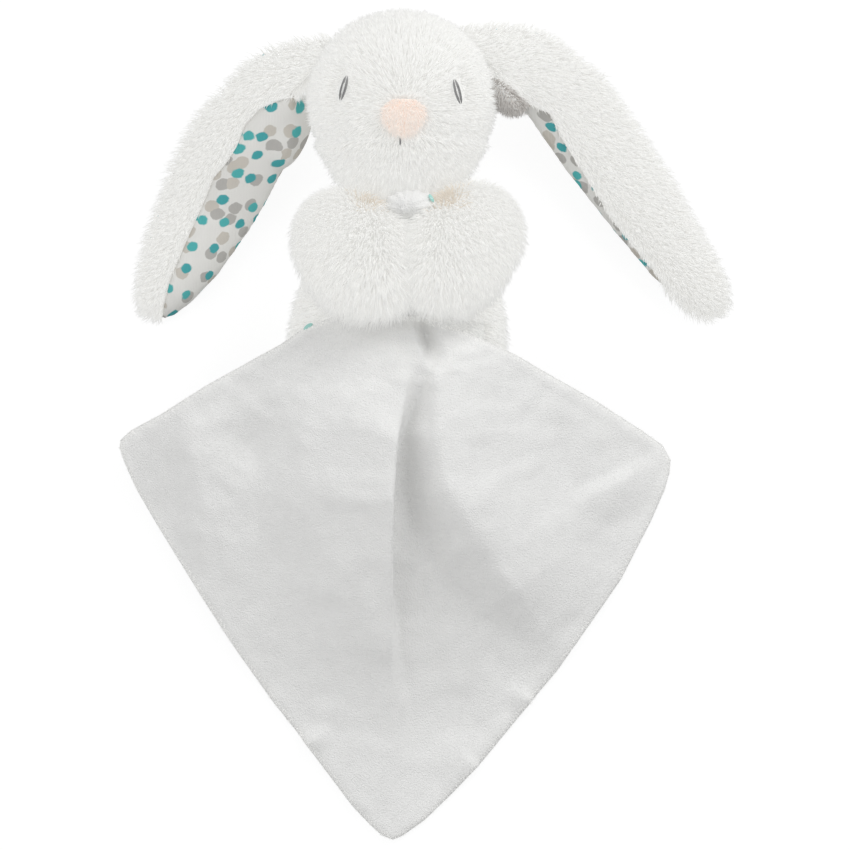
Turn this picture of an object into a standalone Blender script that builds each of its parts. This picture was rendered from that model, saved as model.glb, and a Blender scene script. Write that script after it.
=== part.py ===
"""Comfort blanket lovey: a plush rabbit that lies on its back and holds a square blanket by one corner.

Metres, +Z up. +Y runs to the crown of the head and +X to the right of someone who looks down at the face.
The floor is z = 0, and the origin is in the middle of the toy's outline on the floor.
"""

from math import cos, pi, radians, sin, sqrt

import bmesh
import bpy
from mathutils import Matrix, Vector

# Cloth and clearances
FUR_CLOTH = 0.0022
LINING_CLOTH = 0.0011
BLANKET_CLOTH = 0.0015
SEAM_GAP = 0.0005
FIT_GAP = 0.0004
REST_FLAT = 0.0005

# Neck: a ball of stuffing that plugs into the head
NECK_X = -0.0126
NECK_Y = 0.1175
NECK_Z = 0.0340
NECK_RADIUS = 0.0155
NECK_RIM_ANGLE = radians(36)
NECK_TUCK_ANGLE = radians(50)
NECK_END_ANGLE = radians(78)
NECK_THREAD_ANGLE = radians(13)
NECK_THREAD_RADIUS = 0.0006

# Head
HEAD_WIDTH = 0.0955
HEAD_LENGTH = 0.0900
HEAD_DEPTH = 0.0765
HEAD_OVER_NECK = 0.0015
HEAD_X = NECK_X
HEAD_Y = NECK_Y - HEAD_OVER_NECK + HEAD_LENGTH / 2
HEAD_Z = HEAD_DEPTH / 2 - REST_FLAT

# Nose, eyes and mouth, each placed from the middle of the face
NOSE_WIDTH = 0.0240
NOSE_LENGTH = 0.0205
NOSE_THICKNESS = 0.0016
NOSE_RIGHT = 0.0010
NOSE_DOWN = 0.0070
EYE_LENGTH = 0.0130
EYE_WIDTH = 0.0036
EYE_THICKNESS = 0.0008
EYE_SPACING = 0.0570
EYE_UP = 0.0060
EYE_TILT = radians(15)
MOUTH_LENGTH = 0.0040
MOUTH_WIDTH = 0.0008
MOUTH_BELOW_NOSE = 0.0012

# Ears: how far the middle line runs out, down and drops, then the width and thickness
LEFT_EAR_REACH = 0.0838
LEFT_EAR_FALL = 0.1262
LEFT_EAR_WIDTH = 0.0510
RIGHT_EAR_REACH = 0.1188
RIGHT_EAR_FALL = 0.1318
RIGHT_EAR_WIDTH = 0.0415
EAR_THICKNESS = 0.0150
EAR_ROOT_GAP = 0.0002
LINING_START_STATION = 2
LINING_OUTER_ANGLE = radians(200)
LEFT_LINING_INNER_ANGLE = radians(440)
RIGHT_LINING_INNER_ANGLE = radians(388)
LEFT_EAR_ROOT_ANGLE = radians(156)
RIGHT_EAR_ROOT_ANGLE = radians(33)
EAR_HINGE_Z = HEAD_Z + EAR_THICKNESS / 2

# Body
BODY_WIDTH = 0.1100
BODY_LENGTH = 0.1090
BODY_DEPTH = 0.0460
BODY_LEAN = -0.0030
BODY_Z = BODY_DEPTH / 2 - REST_FLAT

# Arms, each an ellipsoid laid across the chest and bent down to its shoulder
ARM_LENGTH = 0.0700
ARM_WIDTH = 0.0550
ARM_DEPTH = 0.0330
ARM_TOP = 0.0810
ARM_SHOULDER_DROP = 0.0240
ARM_OPENING_DEPTH = 0.0040
ARM_TURN = radians(43)
LEFT_ARM_OUT = 0.0230
RIGHT_ARM_OUT = 0.0295
LEFT_ARM_BELOW_NECK = 0.0300
RIGHT_ARM_BELOW_NECK = 0.0272
SHOULDER_BELOW_NECK = 0.0045
SHOULDER_Z = 0.0520
PAWS_MEET_RIGHT = 0.0040
PAW_TACK_LENGTH = 0.0100
PAW_TACK_BELOW_NECK = 0.0400
PAW_TACK_RADIUS = 0.0006

# Blanket
HOLD_BELOW_NECK = 0.0640
HOLD_WIDTH = 0.0420
HOLD_RIGHT = -0.0110
HOLD_GAP = 0.0008
HINGE_ABOVE_HOLD = 0.0030
HELD_NUB_WIDTH = 0.0220
HELD_NUB_DEPTH = 0.0150
HELD_MIDDLE_DEPTH = 0.0090
HELD_BELOW_NECK = 0.0075
HELD_RIGHT = 0.0045
HELD_NUB_Z = 0.0560
LAYER_GAP = 0.0006
COVER_MIDDLE_SHARE = 0.34
COVER_POWER = 1.5
LEFT_CORNER_OUT = 0.1400
LEFT_CORNER_BELOW_NECK = 0.1270
RIGHT_CORNER_OUT = 0.1330
RIGHT_CORNER_BELOW_NECK = 0.1345
FREE_CORNER_OUT = -0.0050
FREE_CORNER_BELOW_NECK = 0.3235
CORNER_ROUND = 0.0070
FREE_CORNER_WIDTH = 0.0100
LEFT_TOP_BOW = 0.0020
RIGHT_TOP_BOW = 0.0055
LEFT_LOW_BOW = 0.0080
RIGHT_LOW_BOW = 0.0120
COVER_GAP = 0.0016
COVER_SPREAD = 0.1000
COVER_DOWN_SPREAD = 0.1650
FOLD_POWER = 1.7
FOLD_TURN = 1.6
MAIN_FOLD_LEFT_REACH = 0.0550
MAIN_FOLD_RIGHT_REACH = 0.0130
SIDE_FOLD_LEFT_REACH = 0.0240
SIDE_FOLD_RIGHT_REACH = 0.0480

# Number of steps round and along the forms
HEAD_SEGMENTS = 20
HEAD_RINGS = 10
BODY_SEGMENTS = 18
ARM_SEGMENTS = 14
ARM_RINGS = 10
BALL_SEGMENTS = 24
BALL_RINGS = 16
NECK_STEPS = 5
TOP_ROWS = 7
LOW_ROWS = 9
BLANKET_COLUMNS = 20
EAR_SIDE_STEPS = 8
EYE_SIDE_STEPS = 6
THREAD_SEGMENTS = 6

# Body stations from the bottom to the neck: share of the length, of the width and of the depth
BODY_SHARES = (
    (0.000, 0.34, 0.36),
    (0.030, 0.60, 0.62),
    (0.095, 0.83, 0.82),
    (0.190, 0.96, 0.95),
    (0.320, 1.00, 1.00),
    (0.460, 0.96, 0.98),
    (0.600, 0.86, 0.92),
    (0.720, 0.72, 0.84),
    (0.820, 0.54, 0.74),
)

# Ear stations from the root to the tip: share of the reach, of the fall, of the width and of the thickness
LEFT_EAR_SHARES = (
    (0.000, 0.000, 0.68, 0.72),
    (0.112, 0.030, 0.69, 0.79),
    (0.225, 0.105, 0.76, 0.86),
    (0.437, 0.320, 1.00, 0.98),
    (0.538, 0.446, 0.99, 1.00),
    (0.627, 0.564, 0.93, 1.00),
    (0.772, 0.748, 0.78, 1.00),
    (0.880, 0.874, 0.59, 0.92),
    (0.937, 0.939, 0.43, 0.74),
    (0.975, 0.984, 0.20, 0.44),
)
RIGHT_EAR_SHARES = (
    (0.000, 0.000, 0.86, 0.72),
    (0.105, 0.020, 0.86, 0.79),
    (0.205, 0.062, 0.88, 0.86),
    (0.363, 0.195, 1.00, 0.98),
    (0.489, 0.352, 1.00, 1.00),
    (0.676, 0.586, 0.90, 1.00),
    (0.810, 0.762, 0.76, 1.00),
    (0.905, 0.875, 0.65, 0.92),
    (0.955, 0.934, 0.52, 0.74),
    (0.985, 0.984, 0.24, 0.44),
)

# Crests of the blanket's folds: how far right of and below the hold point, then the height that the fold adds
MAIN_FOLD_CREST = (
    (0.0170, 0.0000, 0.0005),
    (0.0115, 0.0355, 0.0100),
    (0.0072, 0.0605, 0.0165),
    (0.0052, 0.0905, 0.0195),
    (0.0047, 0.1355, 0.0150),
    (0.0042, 0.1755, 0.0080),
    (0.0064, 0.2300, 0.0010),
)
SIDE_FOLD_CREST = (
    (0.0220, 0.0000, 0.0005),
    (0.0390, 0.0405, 0.0110),
    (0.0430, 0.0680, 0.0150),
    (0.0540, 0.0980, 0.0160),
    (0.0720, 0.1255, 0.0120),
    (0.0850, 0.1475, 0.0030),
)

# How far the first ear stations have turned from the way out of the head to the ear's own way
EAR_TURN_SHARES = (0.00, 0.42, 0.78)

# Share of the root height that each ear station keeps on its way down to the floor
EAR_LIFT_SHARES = (1.00, 0.94, 0.84, 0.50, 0.30, 0.14, 0.04, 0.00, 0.00, 0.00)

# Held corner stations from its end above the paws to the hold line: along, width and depth
HELD_SHARES = (
    (0.000, 0.40, 0.36),
    (0.050, 0.84, 0.82),
    (0.130, 1.00, 1.00),
    (0.250, 0.92, 0.94),
    (0.450, 0.80, 0.84),
    (0.700, 0.84, 0.84),
    (1.000, 0.97, 0.50),
)

# Nose outline from its middle, as shares of its width and length, the right half from top to bottom
NOSE_SHARES = ((0.0, 0.50), (0.26, 0.46), (0.45, 0.27), (0.50, 0.03), (0.38, -0.22), (0.18, -0.43), (0.0, -0.50))


def clear_objects():
    for old in list(bpy.data.objects):
        bpy.data.objects.remove(old, do_unlink=True)


def cloth_material(name, colour, roughness):
    material = bpy.data.materials.new(name)
    material.use_nodes = True
    shader = material.node_tree.nodes["Principled BSDF"]
    shader.inputs["Base Color"].default_value = (*colour, 1.0)
    shader.inputs["Roughness"].default_value = roughness
    shader.inputs["Metallic"].default_value = 0.0
    material.diffuse_color = (*colour, 1.0)
    return material


def empty_at(name, place, parent=None):
    pivot = bpy.data.objects.new(name, None)
    bpy.context.scene.collection.objects.link(pivot)
    pivot.location = Vector(place) - (parent.matrix_world.translation if parent else Vector())
    pivot.parent = parent
    bpy.context.view_layer.update()
    return pivot


def add_piece(name, bm, material, pivot):
    """Turns a closed form in world coordinates into an object whose origin is its pivot."""
    bmesh.ops.recalc_face_normals(bm, faces=bm.faces)
    return add_sheet(name, bm, material, pivot)


def add_sheet(name, bm, material, pivot):
    """The same for a form whose normals already point the right way."""
    place = pivot.matrix_world.translation
    bmesh.ops.translate(bm, verts=bm.verts, vec=-place)
    mesh = bpy.data.meshes.new(name)
    bm.to_mesh(mesh)
    bm.free()
    mesh.shade_smooth()
    mesh.materials.append(material)
    piece = bpy.data.objects.new(name, mesh)
    piece.parent = pivot
    bpy.context.scene.collection.objects.link(piece)
    return piece


def add_cutter(name, bm):
    mesh = bpy.data.meshes.new(name)
    bmesh.ops.recalc_face_normals(bm, faces=bm.faces)
    bm.to_mesh(mesh)
    bm.free()
    cutter = bpy.data.objects.new(name, mesh)
    cutter.hide_render = True
    cutter.display_type = "WIRE"
    bpy.context.scene.collection.objects.link(cutter)
    return cutter


def cut(piece, cutter):
    boolean = piece.modifiers.new("cut_" + cutter.name, "BOOLEAN")
    boolean.operation = "DIFFERENCE"
    boolean.object = cutter


def thicken(piece, thickness, inwards=True):
    solidify = piece.modifiers.new("cloth", "SOLIDIFY")
    solidify.thickness = thickness
    solidify.offset = -1.0 if inwards else 1.0


def make_shell(bm, thickness, seams):
    """Gives an open form its inner wall, and keeps both walls behind the seam planes that it was cut on."""
    bm.normal_update()
    made = bmesh.ops.extrude_face_region(bm, geom=bm.faces[:], use_keep_orig=True)["geom"]
    for item in made:
        if isinstance(item, bmesh.types.BMVert):
            item.co -= item.normal * thickness
    for axis, place, side in seams:
        for vert in bm.verts:
            if side * (vert.co[axis] - place) < SEAM_GAP / 2:
                vert.co[axis] = place + side * SEAM_GAP / 2


def grow(bm, distance):
    """Moves every vertex along its normal; a negative distance shrinks the form."""
    bm.normal_update()
    moves = [(vert, vert.normal * distance) for vert in bm.verts]
    for vert, move in moves:
        vert.co += move


def keep_side(bm, point, normal, fill=False):
    """Cuts a form with a plane and keeps the side that the normal points to."""
    geometry = bm.verts[:] + bm.edges[:] + bm.faces[:]
    result = bmesh.ops.bisect_plane(bm, geom=geometry, plane_co=point, plane_no=normal, clear_inner=True)
    if fill:
        rim = [item for item in result["geom_cut"] if isinstance(item, bmesh.types.BMEdge)]
        bmesh.ops.edgenet_fill(bm, edges=rim)


def sweep(rings):
    """A closed form through rings of points, all of one count. The ends are filled flat."""
    bm = bmesh.new()
    row = bmesh.ops.create_circle(bm, segments=len(rings[0]), radius=1.0)["verts"]
    rows = [row]
    for _ in rings[1:]:
        edges = [edge for edge in bm.edges if all(vert in rows[-1] for vert in edge.verts)]
        made = bmesh.ops.extrude_edge_only(bm, edges=edges)["geom"]
        fresh = {item for item in made if isinstance(item, bmesh.types.BMVert)}
        row = []
        for vert in rows[-1]:
            row.append(next(e.other_vert(vert) for e in vert.link_edges if e.other_vert(vert) in fresh))
        rows.append(row)
    for row, points in zip(rows, rings):
        for vert, point in zip(row, points):
            vert.co = point
    for row in (rows[0], rows[-1]):
        rim = [edge for edge in bm.edges if edge.is_boundary and all(vert in row for vert in edge.verts)]
        bmesh.ops.holes_fill(bm, edges=rim)
    bmesh.ops.recalc_face_normals(bm, faces=bm.faces)
    return bm


# Head


def head_form():
    bm = bmesh.new()
    bmesh.ops.create_uvsphere(bm, u_segments=HEAD_SEGMENTS, v_segments=HEAD_RINGS, radius=0.5)
    bmesh.ops.scale(bm, verts=bm.verts, vec=(HEAD_WIDTH, HEAD_LENGTH, HEAD_DEPTH))
    bmesh.ops.translate(bm, verts=bm.verts, vec=(HEAD_X, HEAD_Y, HEAD_Z))
    keep_side(bm, (0, 0, 0), (0, 0, 1), fill=True)
    return bm


def face_height(right, up):
    """Height of the face above the floor at a place given from the middle of the face."""
    share = 1 - (2 * right / HEAD_WIDTH) ** 2 - (2 * up / HEAD_LENGTH) ** 2
    return HEAD_Z + HEAD_DEPTH / 2 * sqrt(share)


def head_panel(name, material, pivot, side):
    bm = head_form()
    half_gap = SEAM_GAP / 2
    seams = [(2, HEAD_Z, 1 if side else -1)]
    if side:
        seams.append((0, HEAD_X, side))
        keep_side(bm, (HEAD_X + side * half_gap, 0, 0), (side, 0, 0))
    keep_side(bm, (0, 0, HEAD_Z + seams[0][2] * half_gap), (0, 0, seams[0][2]))
    make_shell(bm, FUR_CLOTH, seams)
    return add_piece(name, bm, material, pivot)


def face_patch(name, material, pivot, outline, thickness):
    """A thin patch on the face, from an outline of places given from the middle of the face."""
    bm = bmesh.new()
    corners = [bm.verts.new((right, up, 0)) for right, up in outline]
    face = bm.faces.new(corners)
    bmesh.ops.poke(bm, faces=[face])
    bmesh.ops.subdivide_edges(bm, edges=[e for e in bm.edges if not e.is_boundary], cuts=1)
    for vert in bm.verts:
        right, up = vert.co.x, vert.co.y
        vert.co = (HEAD_X + right, HEAD_Y + up, face_height(right, up) + FIT_GAP)
    patch = add_piece(name, bm, material, pivot)
    thicken(patch, thickness, inwards=False)
    return patch


def eye_outline(side):
    """An almond that leans in at the top, on one side of the face."""
    points = []
    for index in range(2 * EYE_SIDE_STEPS):
        turn = pi * index / EYE_SIDE_STEPS
        along = EYE_LENGTH / 2 * cos(turn)
        across = EYE_WIDTH / 2 * sin(turn)
        lean = -side * EYE_TILT
        right = side * EYE_SPACING / 2 + along * sin(lean) + across * cos(lean)
        points.append((right, EYE_UP + along * cos(lean) - across * sin(lean)))
    return points


def nose_outline():
    left = [(-across, along) for across, along in NOSE_SHARES[1:-1]]
    shares = list(NOSE_SHARES) + left[::-1]
    return [(NOSE_RIGHT + x * NOSE_WIDTH, y * NOSE_LENGTH - NOSE_DOWN) for x, y in shares]


def mouth_outline():
    top = -NOSE_DOWN - NOSE_LENGTH / 2 - MOUTH_BELOW_NOSE
    half = MOUTH_WIDTH / 2
    return [(-half, top - MOUTH_LENGTH), (half, top - MOUTH_LENGTH), (half, top), (-half, top)]


def build_head(pivot, plush, pink, grey, filling, socket):
    for name, side in (("face_left_panel", -1), ("face_right_panel", 1), ("head_back_panel", 0)):
        cut(head_panel(name, plush, pivot, side), socket)
    bm = head_form()
    grow(bm, -(FUR_CLOTH + FIT_GAP))
    cut(add_piece("head_stuffing", bm, filling, pivot), socket)
    face_patch("nose_patch", pink, pivot, nose_outline(), NOSE_THICKNESS)
    face_patch("left_eye_embroidery", grey, pivot, eye_outline(-1), EYE_THICKNESS)
    face_patch("right_eye_embroidery", grey, pivot, eye_outline(1), EYE_THICKNESS)
    face_patch("mouth_stitch", grey, pivot, mouth_outline(), EYE_THICKNESS)


# Ears


def ear_root(side):
    """Where an ear is sewn into the head's side seam: the place, and the way out from the head."""
    angle = LEFT_EAR_ROOT_ANGLE if side < 0 else RIGHT_EAR_ROOT_ANGLE
    out = Vector((cos(angle) / (HEAD_WIDTH / 2), sin(angle) / (HEAD_LENGTH / 2), 0)).normalized()
    place = Vector((HEAD_X + HEAD_WIDTH / 2 * cos(angle), HEAD_Y + HEAD_LENGTH / 2 * sin(angle), 0))
    return place + out * EAR_ROOT_GAP, out


def ear_stations(side):
    """Middle points of the ear's sections with their widths and thicknesses, from the root to the tip."""
    reach = LEFT_EAR_REACH if side < 0 else RIGHT_EAR_REACH
    fall = LEFT_EAR_FALL if side < 0 else RIGHT_EAR_FALL
    width = LEFT_EAR_WIDTH if side < 0 else RIGHT_EAR_WIDTH
    shares = LEFT_EAR_SHARES if side < 0 else RIGHT_EAR_SHARES
    place, _ = ear_root(side)
    stations = []
    for (out, down, wide, thick), lift in zip(shares, EAR_LIFT_SHARES):
        half_thick = EAR_THICKNESS * thick / 2
        height = half_thick + lift * (HEAD_Z - half_thick)
        middle = Vector((place.x + side * reach * out, place.y - fall * down, height))
        stations.append((middle, width * wide, 2 * half_thick))
    return stations


def ear_section(middle, along, width, thickness, inset, part, side):
    """One ring of an ear: the fur's rolled section, or the lining's thin one under it and up its inner edge."""
    across = Vector((along.y, -along.x, 0)).normalized() * side
    up = Vector((0, 0, 1))
    half_wide = width / 2
    half_thick = thickness / 2
    edge_turn = LINING_OUTER_ANGLE
    inner_turn = LEFT_LINING_INNER_ANGLE if side < 0 else RIGHT_LINING_INNER_ANGLE
    outer = []
    inner = []
    for index in range(EAR_SIDE_STEPS + 1):
        turn = edge_turn + (inner_turn - edge_turn) * index / EAR_SIDE_STEPS
        outer.append((cos(turn) * half_wide, sin(turn) * half_thick))
        inner.append((cos(turn) * (half_wide - inset), sin(turn) * (half_thick - inset)))
    if part == "lining":
        flat = outer + inner[::-1]
    else:
        top = []
        for index in range(1, EAR_SIDE_STEPS):
            turn = inner_turn + (edge_turn + 2 * pi - inner_turn) * index / EAR_SIDE_STEPS
            top.append((cos(turn) * half_wide, sin(turn) * half_thick))
        flat = inner + top
    return [middle + across * x + up * y for x, y in flat]


def ear_rings(side, part):
    stations = ear_stations(side)
    _, out = ear_root(side)
    rings = []
    for index, (middle, width, thickness) in enumerate(stations):
        before = stations[max(index - 1, 0)][0]
        after = stations[min(index + 1, len(stations) - 1)][0]
        along = Vector((after.x - before.x, after.y - before.y, 0)).normalized()
        if index < len(EAR_TURN_SHARES):
            along = out.lerp(along, EAR_TURN_SHARES[index]).normalized()
        if part == "lining":
            inset = LINING_CLOTH
        elif index < LINING_START_STATION:
            inset = 0
        else:
            inset = LINING_CLOTH + FIT_GAP
        if part == "fur" or index >= LINING_START_STATION:
            rings.append(ear_section(middle, along, width, thickness, inset, part, side))
    return rings


def build_ear(side, name, pivot, plush, print_cloth):
    for part, material in (("fur", plush), ("lining", print_cloth)):
        bm = sweep(ear_rings(side, part))
        bmesh.ops.triangulate(bm, faces=bm.faces[:])
        add_piece(name + "_ear_" + part, bm, material, pivot)


# Body and neck


def body_ring(y, half_width, half_depth, lean_share):
    x = NECK_X + BODY_LEAN * lean_share
    ring = []
    for index in range(BODY_SEGMENTS):
        turn = 2 * pi * index / BODY_SEGMENTS
        ring.append(Vector((x + half_width * cos(turn), y, BODY_Z + half_depth * sin(turn))))
    return ring


def body_rings():
    rings = []
    for along, wide, deep in BODY_SHARES:
        y = NECK_Y - BODY_LENGTH * (1 - along)
        rings.append(body_ring(y, BODY_WIDTH / 2 * wide, BODY_DEPTH / 2 * deep, 1 - along))
    return rings


def rim_y():
    """Where the body's cloth ends round the neck."""
    return NECK_Y - NECK_RADIUS * sin(NECK_RIM_ANGLE)


def rim_ring(grown):
    radius = NECK_RADIUS * cos(NECK_RIM_ANGLE) + grown
    return body_ring(rim_y(), radius, radius, 0)


def ball_rings():
    """Rings on the neck ball, from just inside the rim of the body's cloth to the end inside the head."""
    rings = []
    for index in range(NECK_STEPS + 1):
        angle = -NECK_TUCK_ANGLE + (NECK_END_ANGLE + NECK_TUCK_ANGLE) * index / NECK_STEPS
        radius = NECK_RADIUS * cos(angle)
        rings.append(body_ring(NECK_Y + NECK_RADIUS * sin(angle), radius, radius, 0))
    return rings


def raise_neck(bm):
    """Lifts the upper body from the floor to the height of the neck."""
    start = NECK_Y - BODY_LENGTH / 2
    for vert in bm.verts:
        share = min(1.0, max(0.0, (vert.co.y - start) / (rim_y() - start)))
        vert.co.z += (NECK_Z - BODY_Z) * share * share


def body_form():
    bm = sweep(body_rings() + [rim_ring(FUR_CLOTH + FIT_GAP)])
    keep_side(bm, (0, 0, 0), (0, 0, 1), fill=True)
    return bm


def body_panel(name, material, pivot, side):
    bm = body_form()
    keep_side(bm, (0, rim_y() - SEAM_GAP, 0), (0, -1, 0))
    keep_side(bm, (0, 0, BODY_Z + side * SEAM_GAP / 2), (0, 0, side))
    make_shell(bm, FUR_CLOTH, [(2, BODY_Z, side)])
    raise_neck(bm)
    return add_piece(name, bm, material, pivot)


def build_body(pivot, neck_pivot, plush, filling, thread):
    body_panel("body_front_panel", plush, pivot, 1)
    body_panel("body_back_panel", plush, pivot, -1)
    bm = sweep(body_rings() + ball_rings())
    keep_side(bm, (0, 0, 0), (0, 0, 1), fill=True)
    bm.normal_update()
    last_y = NECK_Y - BODY_LENGTH * (1 - BODY_SHARES[-1][0])
    below_rim = [vert for vert in bm.verts if vert.co.y < last_y + FIT_GAP]
    moves = [(vert, vert.normal * (FUR_CLOTH + FIT_GAP)) for vert in below_rim]
    for vert, move in moves:
        vert.co -= move
    raise_neck(bm)
    add_piece("body_stuffing", bm, filling, pivot)
    thread_reach = NECK_RADIUS + FIT_GAP + NECK_THREAD_RADIUS
    bm = bmesh.new()
    circle = bmesh.ops.create_circle(bm, segments=THREAD_SEGMENTS, radius=NECK_THREAD_RADIUS)["verts"]
    bmesh.ops.translate(bm, verts=circle, vec=(thread_reach * cos(NECK_THREAD_ANGLE), 0, 0))
    bmesh.ops.spin(
        bm, geom=bm.verts[:] + bm.edges[:], cent=(0, 0, 0), axis=(0, 1, 0), angle=2 * pi,
        steps=BODY_SEGMENTS, use_merge=True,
    )
    below = thread_reach * sin(NECK_THREAD_ANGLE)
    bmesh.ops.translate(bm, verts=bm.verts, vec=(NECK_X, NECK_Y - below, NECK_Z))
    add_piece("neck_thread", bm, thread, neck_pivot)


# Arms


def arm_form(side):
    """An arm's outer form: an ellipsoid turned across the chest, whose shoulder end bends down."""
    out = LEFT_ARM_OUT if side < 0 else RIGHT_ARM_OUT
    below = LEFT_ARM_BELOW_NECK if side < 0 else RIGHT_ARM_BELOW_NECK
    bm = bmesh.new()
    bmesh.ops.create_uvsphere(bm, u_segments=ARM_SEGMENTS, v_segments=ARM_RINGS, radius=0.5)
    bmesh.ops.rotate(bm, verts=bm.verts, matrix=Matrix.Rotation(pi / 2, 3, "Y"))
    for vert in bm.verts:
        to_shoulder = (1 + 2 * vert.co.x) / 2
        height = ARM_TOP - ARM_DEPTH / 2 - ARM_SHOULDER_DROP * to_shoulder * to_shoulder
        vert.co = (vert.co.x * ARM_LENGTH, vert.co.y * ARM_WIDTH, height + vert.co.z * ARM_DEPTH)
    turn = ARM_TURN if side > 0 else pi - ARM_TURN
    bmesh.ops.rotate(bm, verts=bm.verts, matrix=Matrix.Rotation(turn, 3, "Z"))
    bmesh.ops.translate(bm, verts=bm.verts, vec=(NECK_X + side * out, NECK_Y - below, 0))
    keep_side(bm, (NECK_X + PAWS_MEET_RIGHT + side * SEAM_GAP / 2, 0, 0), (side, 0, 0), fill=True)
    bmesh.ops.recalc_face_normals(bm, faces=bm.faces)
    return bm


def arm_top(side, x, y):
    """Height of an arm's upper surface above the floor."""
    out = LEFT_ARM_OUT if side < 0 else RIGHT_ARM_OUT
    below = LEFT_ARM_BELOW_NECK if side < 0 else RIGHT_ARM_BELOW_NECK
    right, up = x - (NECK_X + side * out), y - (NECK_Y - below)
    turn = ARM_TURN if side > 0 else pi - ARM_TURN
    along = 2 * (right * cos(turn) + up * sin(turn)) / ARM_LENGTH
    across = 2 * (up * cos(turn) - right * sin(turn)) / ARM_WIDTH
    to_shoulder = (1 + along) / 2
    height = ARM_TOP - ARM_DEPTH / 2 - ARM_SHOULDER_DROP * to_shoulder * to_shoulder
    return height + ARM_DEPTH / 2 * sqrt(max(0.0, 1 - along * along - across * across))


def build_paw_tack(pivot, thread):
    """The stitch that holds the paws together: a short run of thread across the crease between them."""
    middle = NECK_X + PAWS_MEET_RIGHT
    y = NECK_Y - PAW_TACK_BELOW_NECK
    height = max(arm_top(side, middle + side * PAW_TACK_LENGTH / 2, y) for side in (-1, 1))
    bm = bmesh.new()
    bmesh.ops.create_cone(
        bm, cap_ends=True, segments=THREAD_SEGMENTS, radius1=PAW_TACK_RADIUS, radius2=PAW_TACK_RADIUS,
        depth=PAW_TACK_LENGTH,
    )
    bmesh.ops.rotate(bm, verts=bm.verts, matrix=Matrix.Rotation(pi / 2, 3, "Y"))
    bmesh.ops.translate(bm, verts=bm.verts, vec=(middle, y, height + FIT_GAP + PAW_TACK_RADIUS))
    add_piece("paw_tack", bm, thread, pivot)


def body_cutter_form():
    bm = body_form()
    raise_neck(bm)
    grow(bm, FIT_GAP)
    return bm


def build_arms(pivot, plush, filling, body_cutter):
    for side, name in ((-1, "left"), (1, "right")):
        sleeve = arm_form(side)
        away = Vector((side, 0, 2)).normalized()
        nearest = min(vert.co.dot(away) for vert in sleeve.verts)
        keep_side(sleeve, away * (nearest + ARM_OPENING_DEPTH), away)
        piece = add_piece(name + "_arm_sleeve", sleeve, plush, pivot)
        thicken(piece, FUR_CLOTH)
        cut(piece, body_cutter)
        stuffing = arm_form(side)
        grow(stuffing, -(FUR_CLOTH + FIT_GAP))
        cut(add_piece(name + "_arm_stuffing", stuffing, filling, pivot), body_cutter)


# Blanket


def hold_point():
    """Middle of the line under the paws where the free cloth begins."""
    return Vector((NECK_X + HOLD_RIGHT, NECK_Y - HOLD_BELOW_NECK, 2 * BODY_Z + HELD_MIDDLE_DEPTH / 2))


def held_rings():
    """Rings of the gathered corner, from its rounded end above the paws to the line where the free cloth begins."""
    end = hold_point()
    start = Vector((NECK_X + HELD_RIGHT, NECK_Y - HELD_BELOW_NECK, HELD_NUB_Z))
    rings = []
    for along, wide, deep in HELD_SHARES:
        half_width = (HELD_NUB_WIDTH * (1 - along) + HOLD_WIDTH * along) / 2 * wide
        half_depth = (HELD_NUB_DEPTH * (1 - along) + HELD_MIDDLE_DEPTH * along) / 2 * deep
        middle = start.lerp(end, along)
        ring = []
        for index in range(ARM_SEGMENTS):
            turn = 2 * pi * index / ARM_SEGMENTS
            ring.append(middle + Vector((half_width * cos(turn), 0, half_depth * sin(turn))))
        rings.append(ring)
    return rings


def side_path(side):
    """Edge of the free cloth on one side, from the hold line round its corner to the free corner."""
    hold = hold_point()
    reach = LEFT_CORNER_OUT if side < 0 else RIGHT_CORNER_OUT
    below = LEFT_CORNER_BELOW_NECK if side < 0 else RIGHT_CORNER_BELOW_NECK
    top = Vector((hold.x + side * HOLD_WIDTH / 2, hold.y - HOLD_GAP))
    corner = Vector((NECK_X + side * reach, NECK_Y - below))
    end_x = NECK_X + FREE_CORNER_OUT + side * FREE_CORNER_WIDTH / 2
    end = Vector((end_x, NECK_Y - FREE_CORNER_BELOW_NECK))
    down = (corner - top).normalized()
    back = (end - corner).normalized()
    top_bow = Vector((-down.y, down.x)) * side * (LEFT_TOP_BOW if side < 0 else RIGHT_TOP_BOW)
    low_bow = Vector((-back.y, back.x)) * side * (LEFT_LOW_BOW if side < 0 else RIGHT_LOW_BOW)
    points = []
    for index in range(TOP_ROWS + 1):
        share = index / TOP_ROWS
        points.append(top.lerp(corner - down * CORNER_ROUND, share) + top_bow * 4 * share * (1 - share))
    points.append(corner + (back - down) * CORNER_ROUND / 4)
    for index in range(LOW_ROWS + 1):
        share = index / LOW_ROWS
        points.append((corner + back * CORNER_ROUND).lerp(end, share) + low_bow * 4 * share * (1 - share))
    return points


def body_cover(x, y):
    """Height of the tent that the cloth makes over the body, down to the floor."""
    across = (x - NECK_X - BODY_LEAN) / (BODY_WIDTH / 2 + COVER_SPREAD)
    middle = NECK_Y - BODY_LENGTH * (1 - COVER_MIDDLE_SHARE)
    along = (y - middle) / (BODY_LENGTH * COVER_MIDDLE_SHARE + COVER_DOWN_SPREAD)
    outwards = across * across + along * along
    inside = max(0.0, 1 - outwards)
    return (BODY_DEPTH + COVER_GAP) * inside ** COVER_POWER


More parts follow.
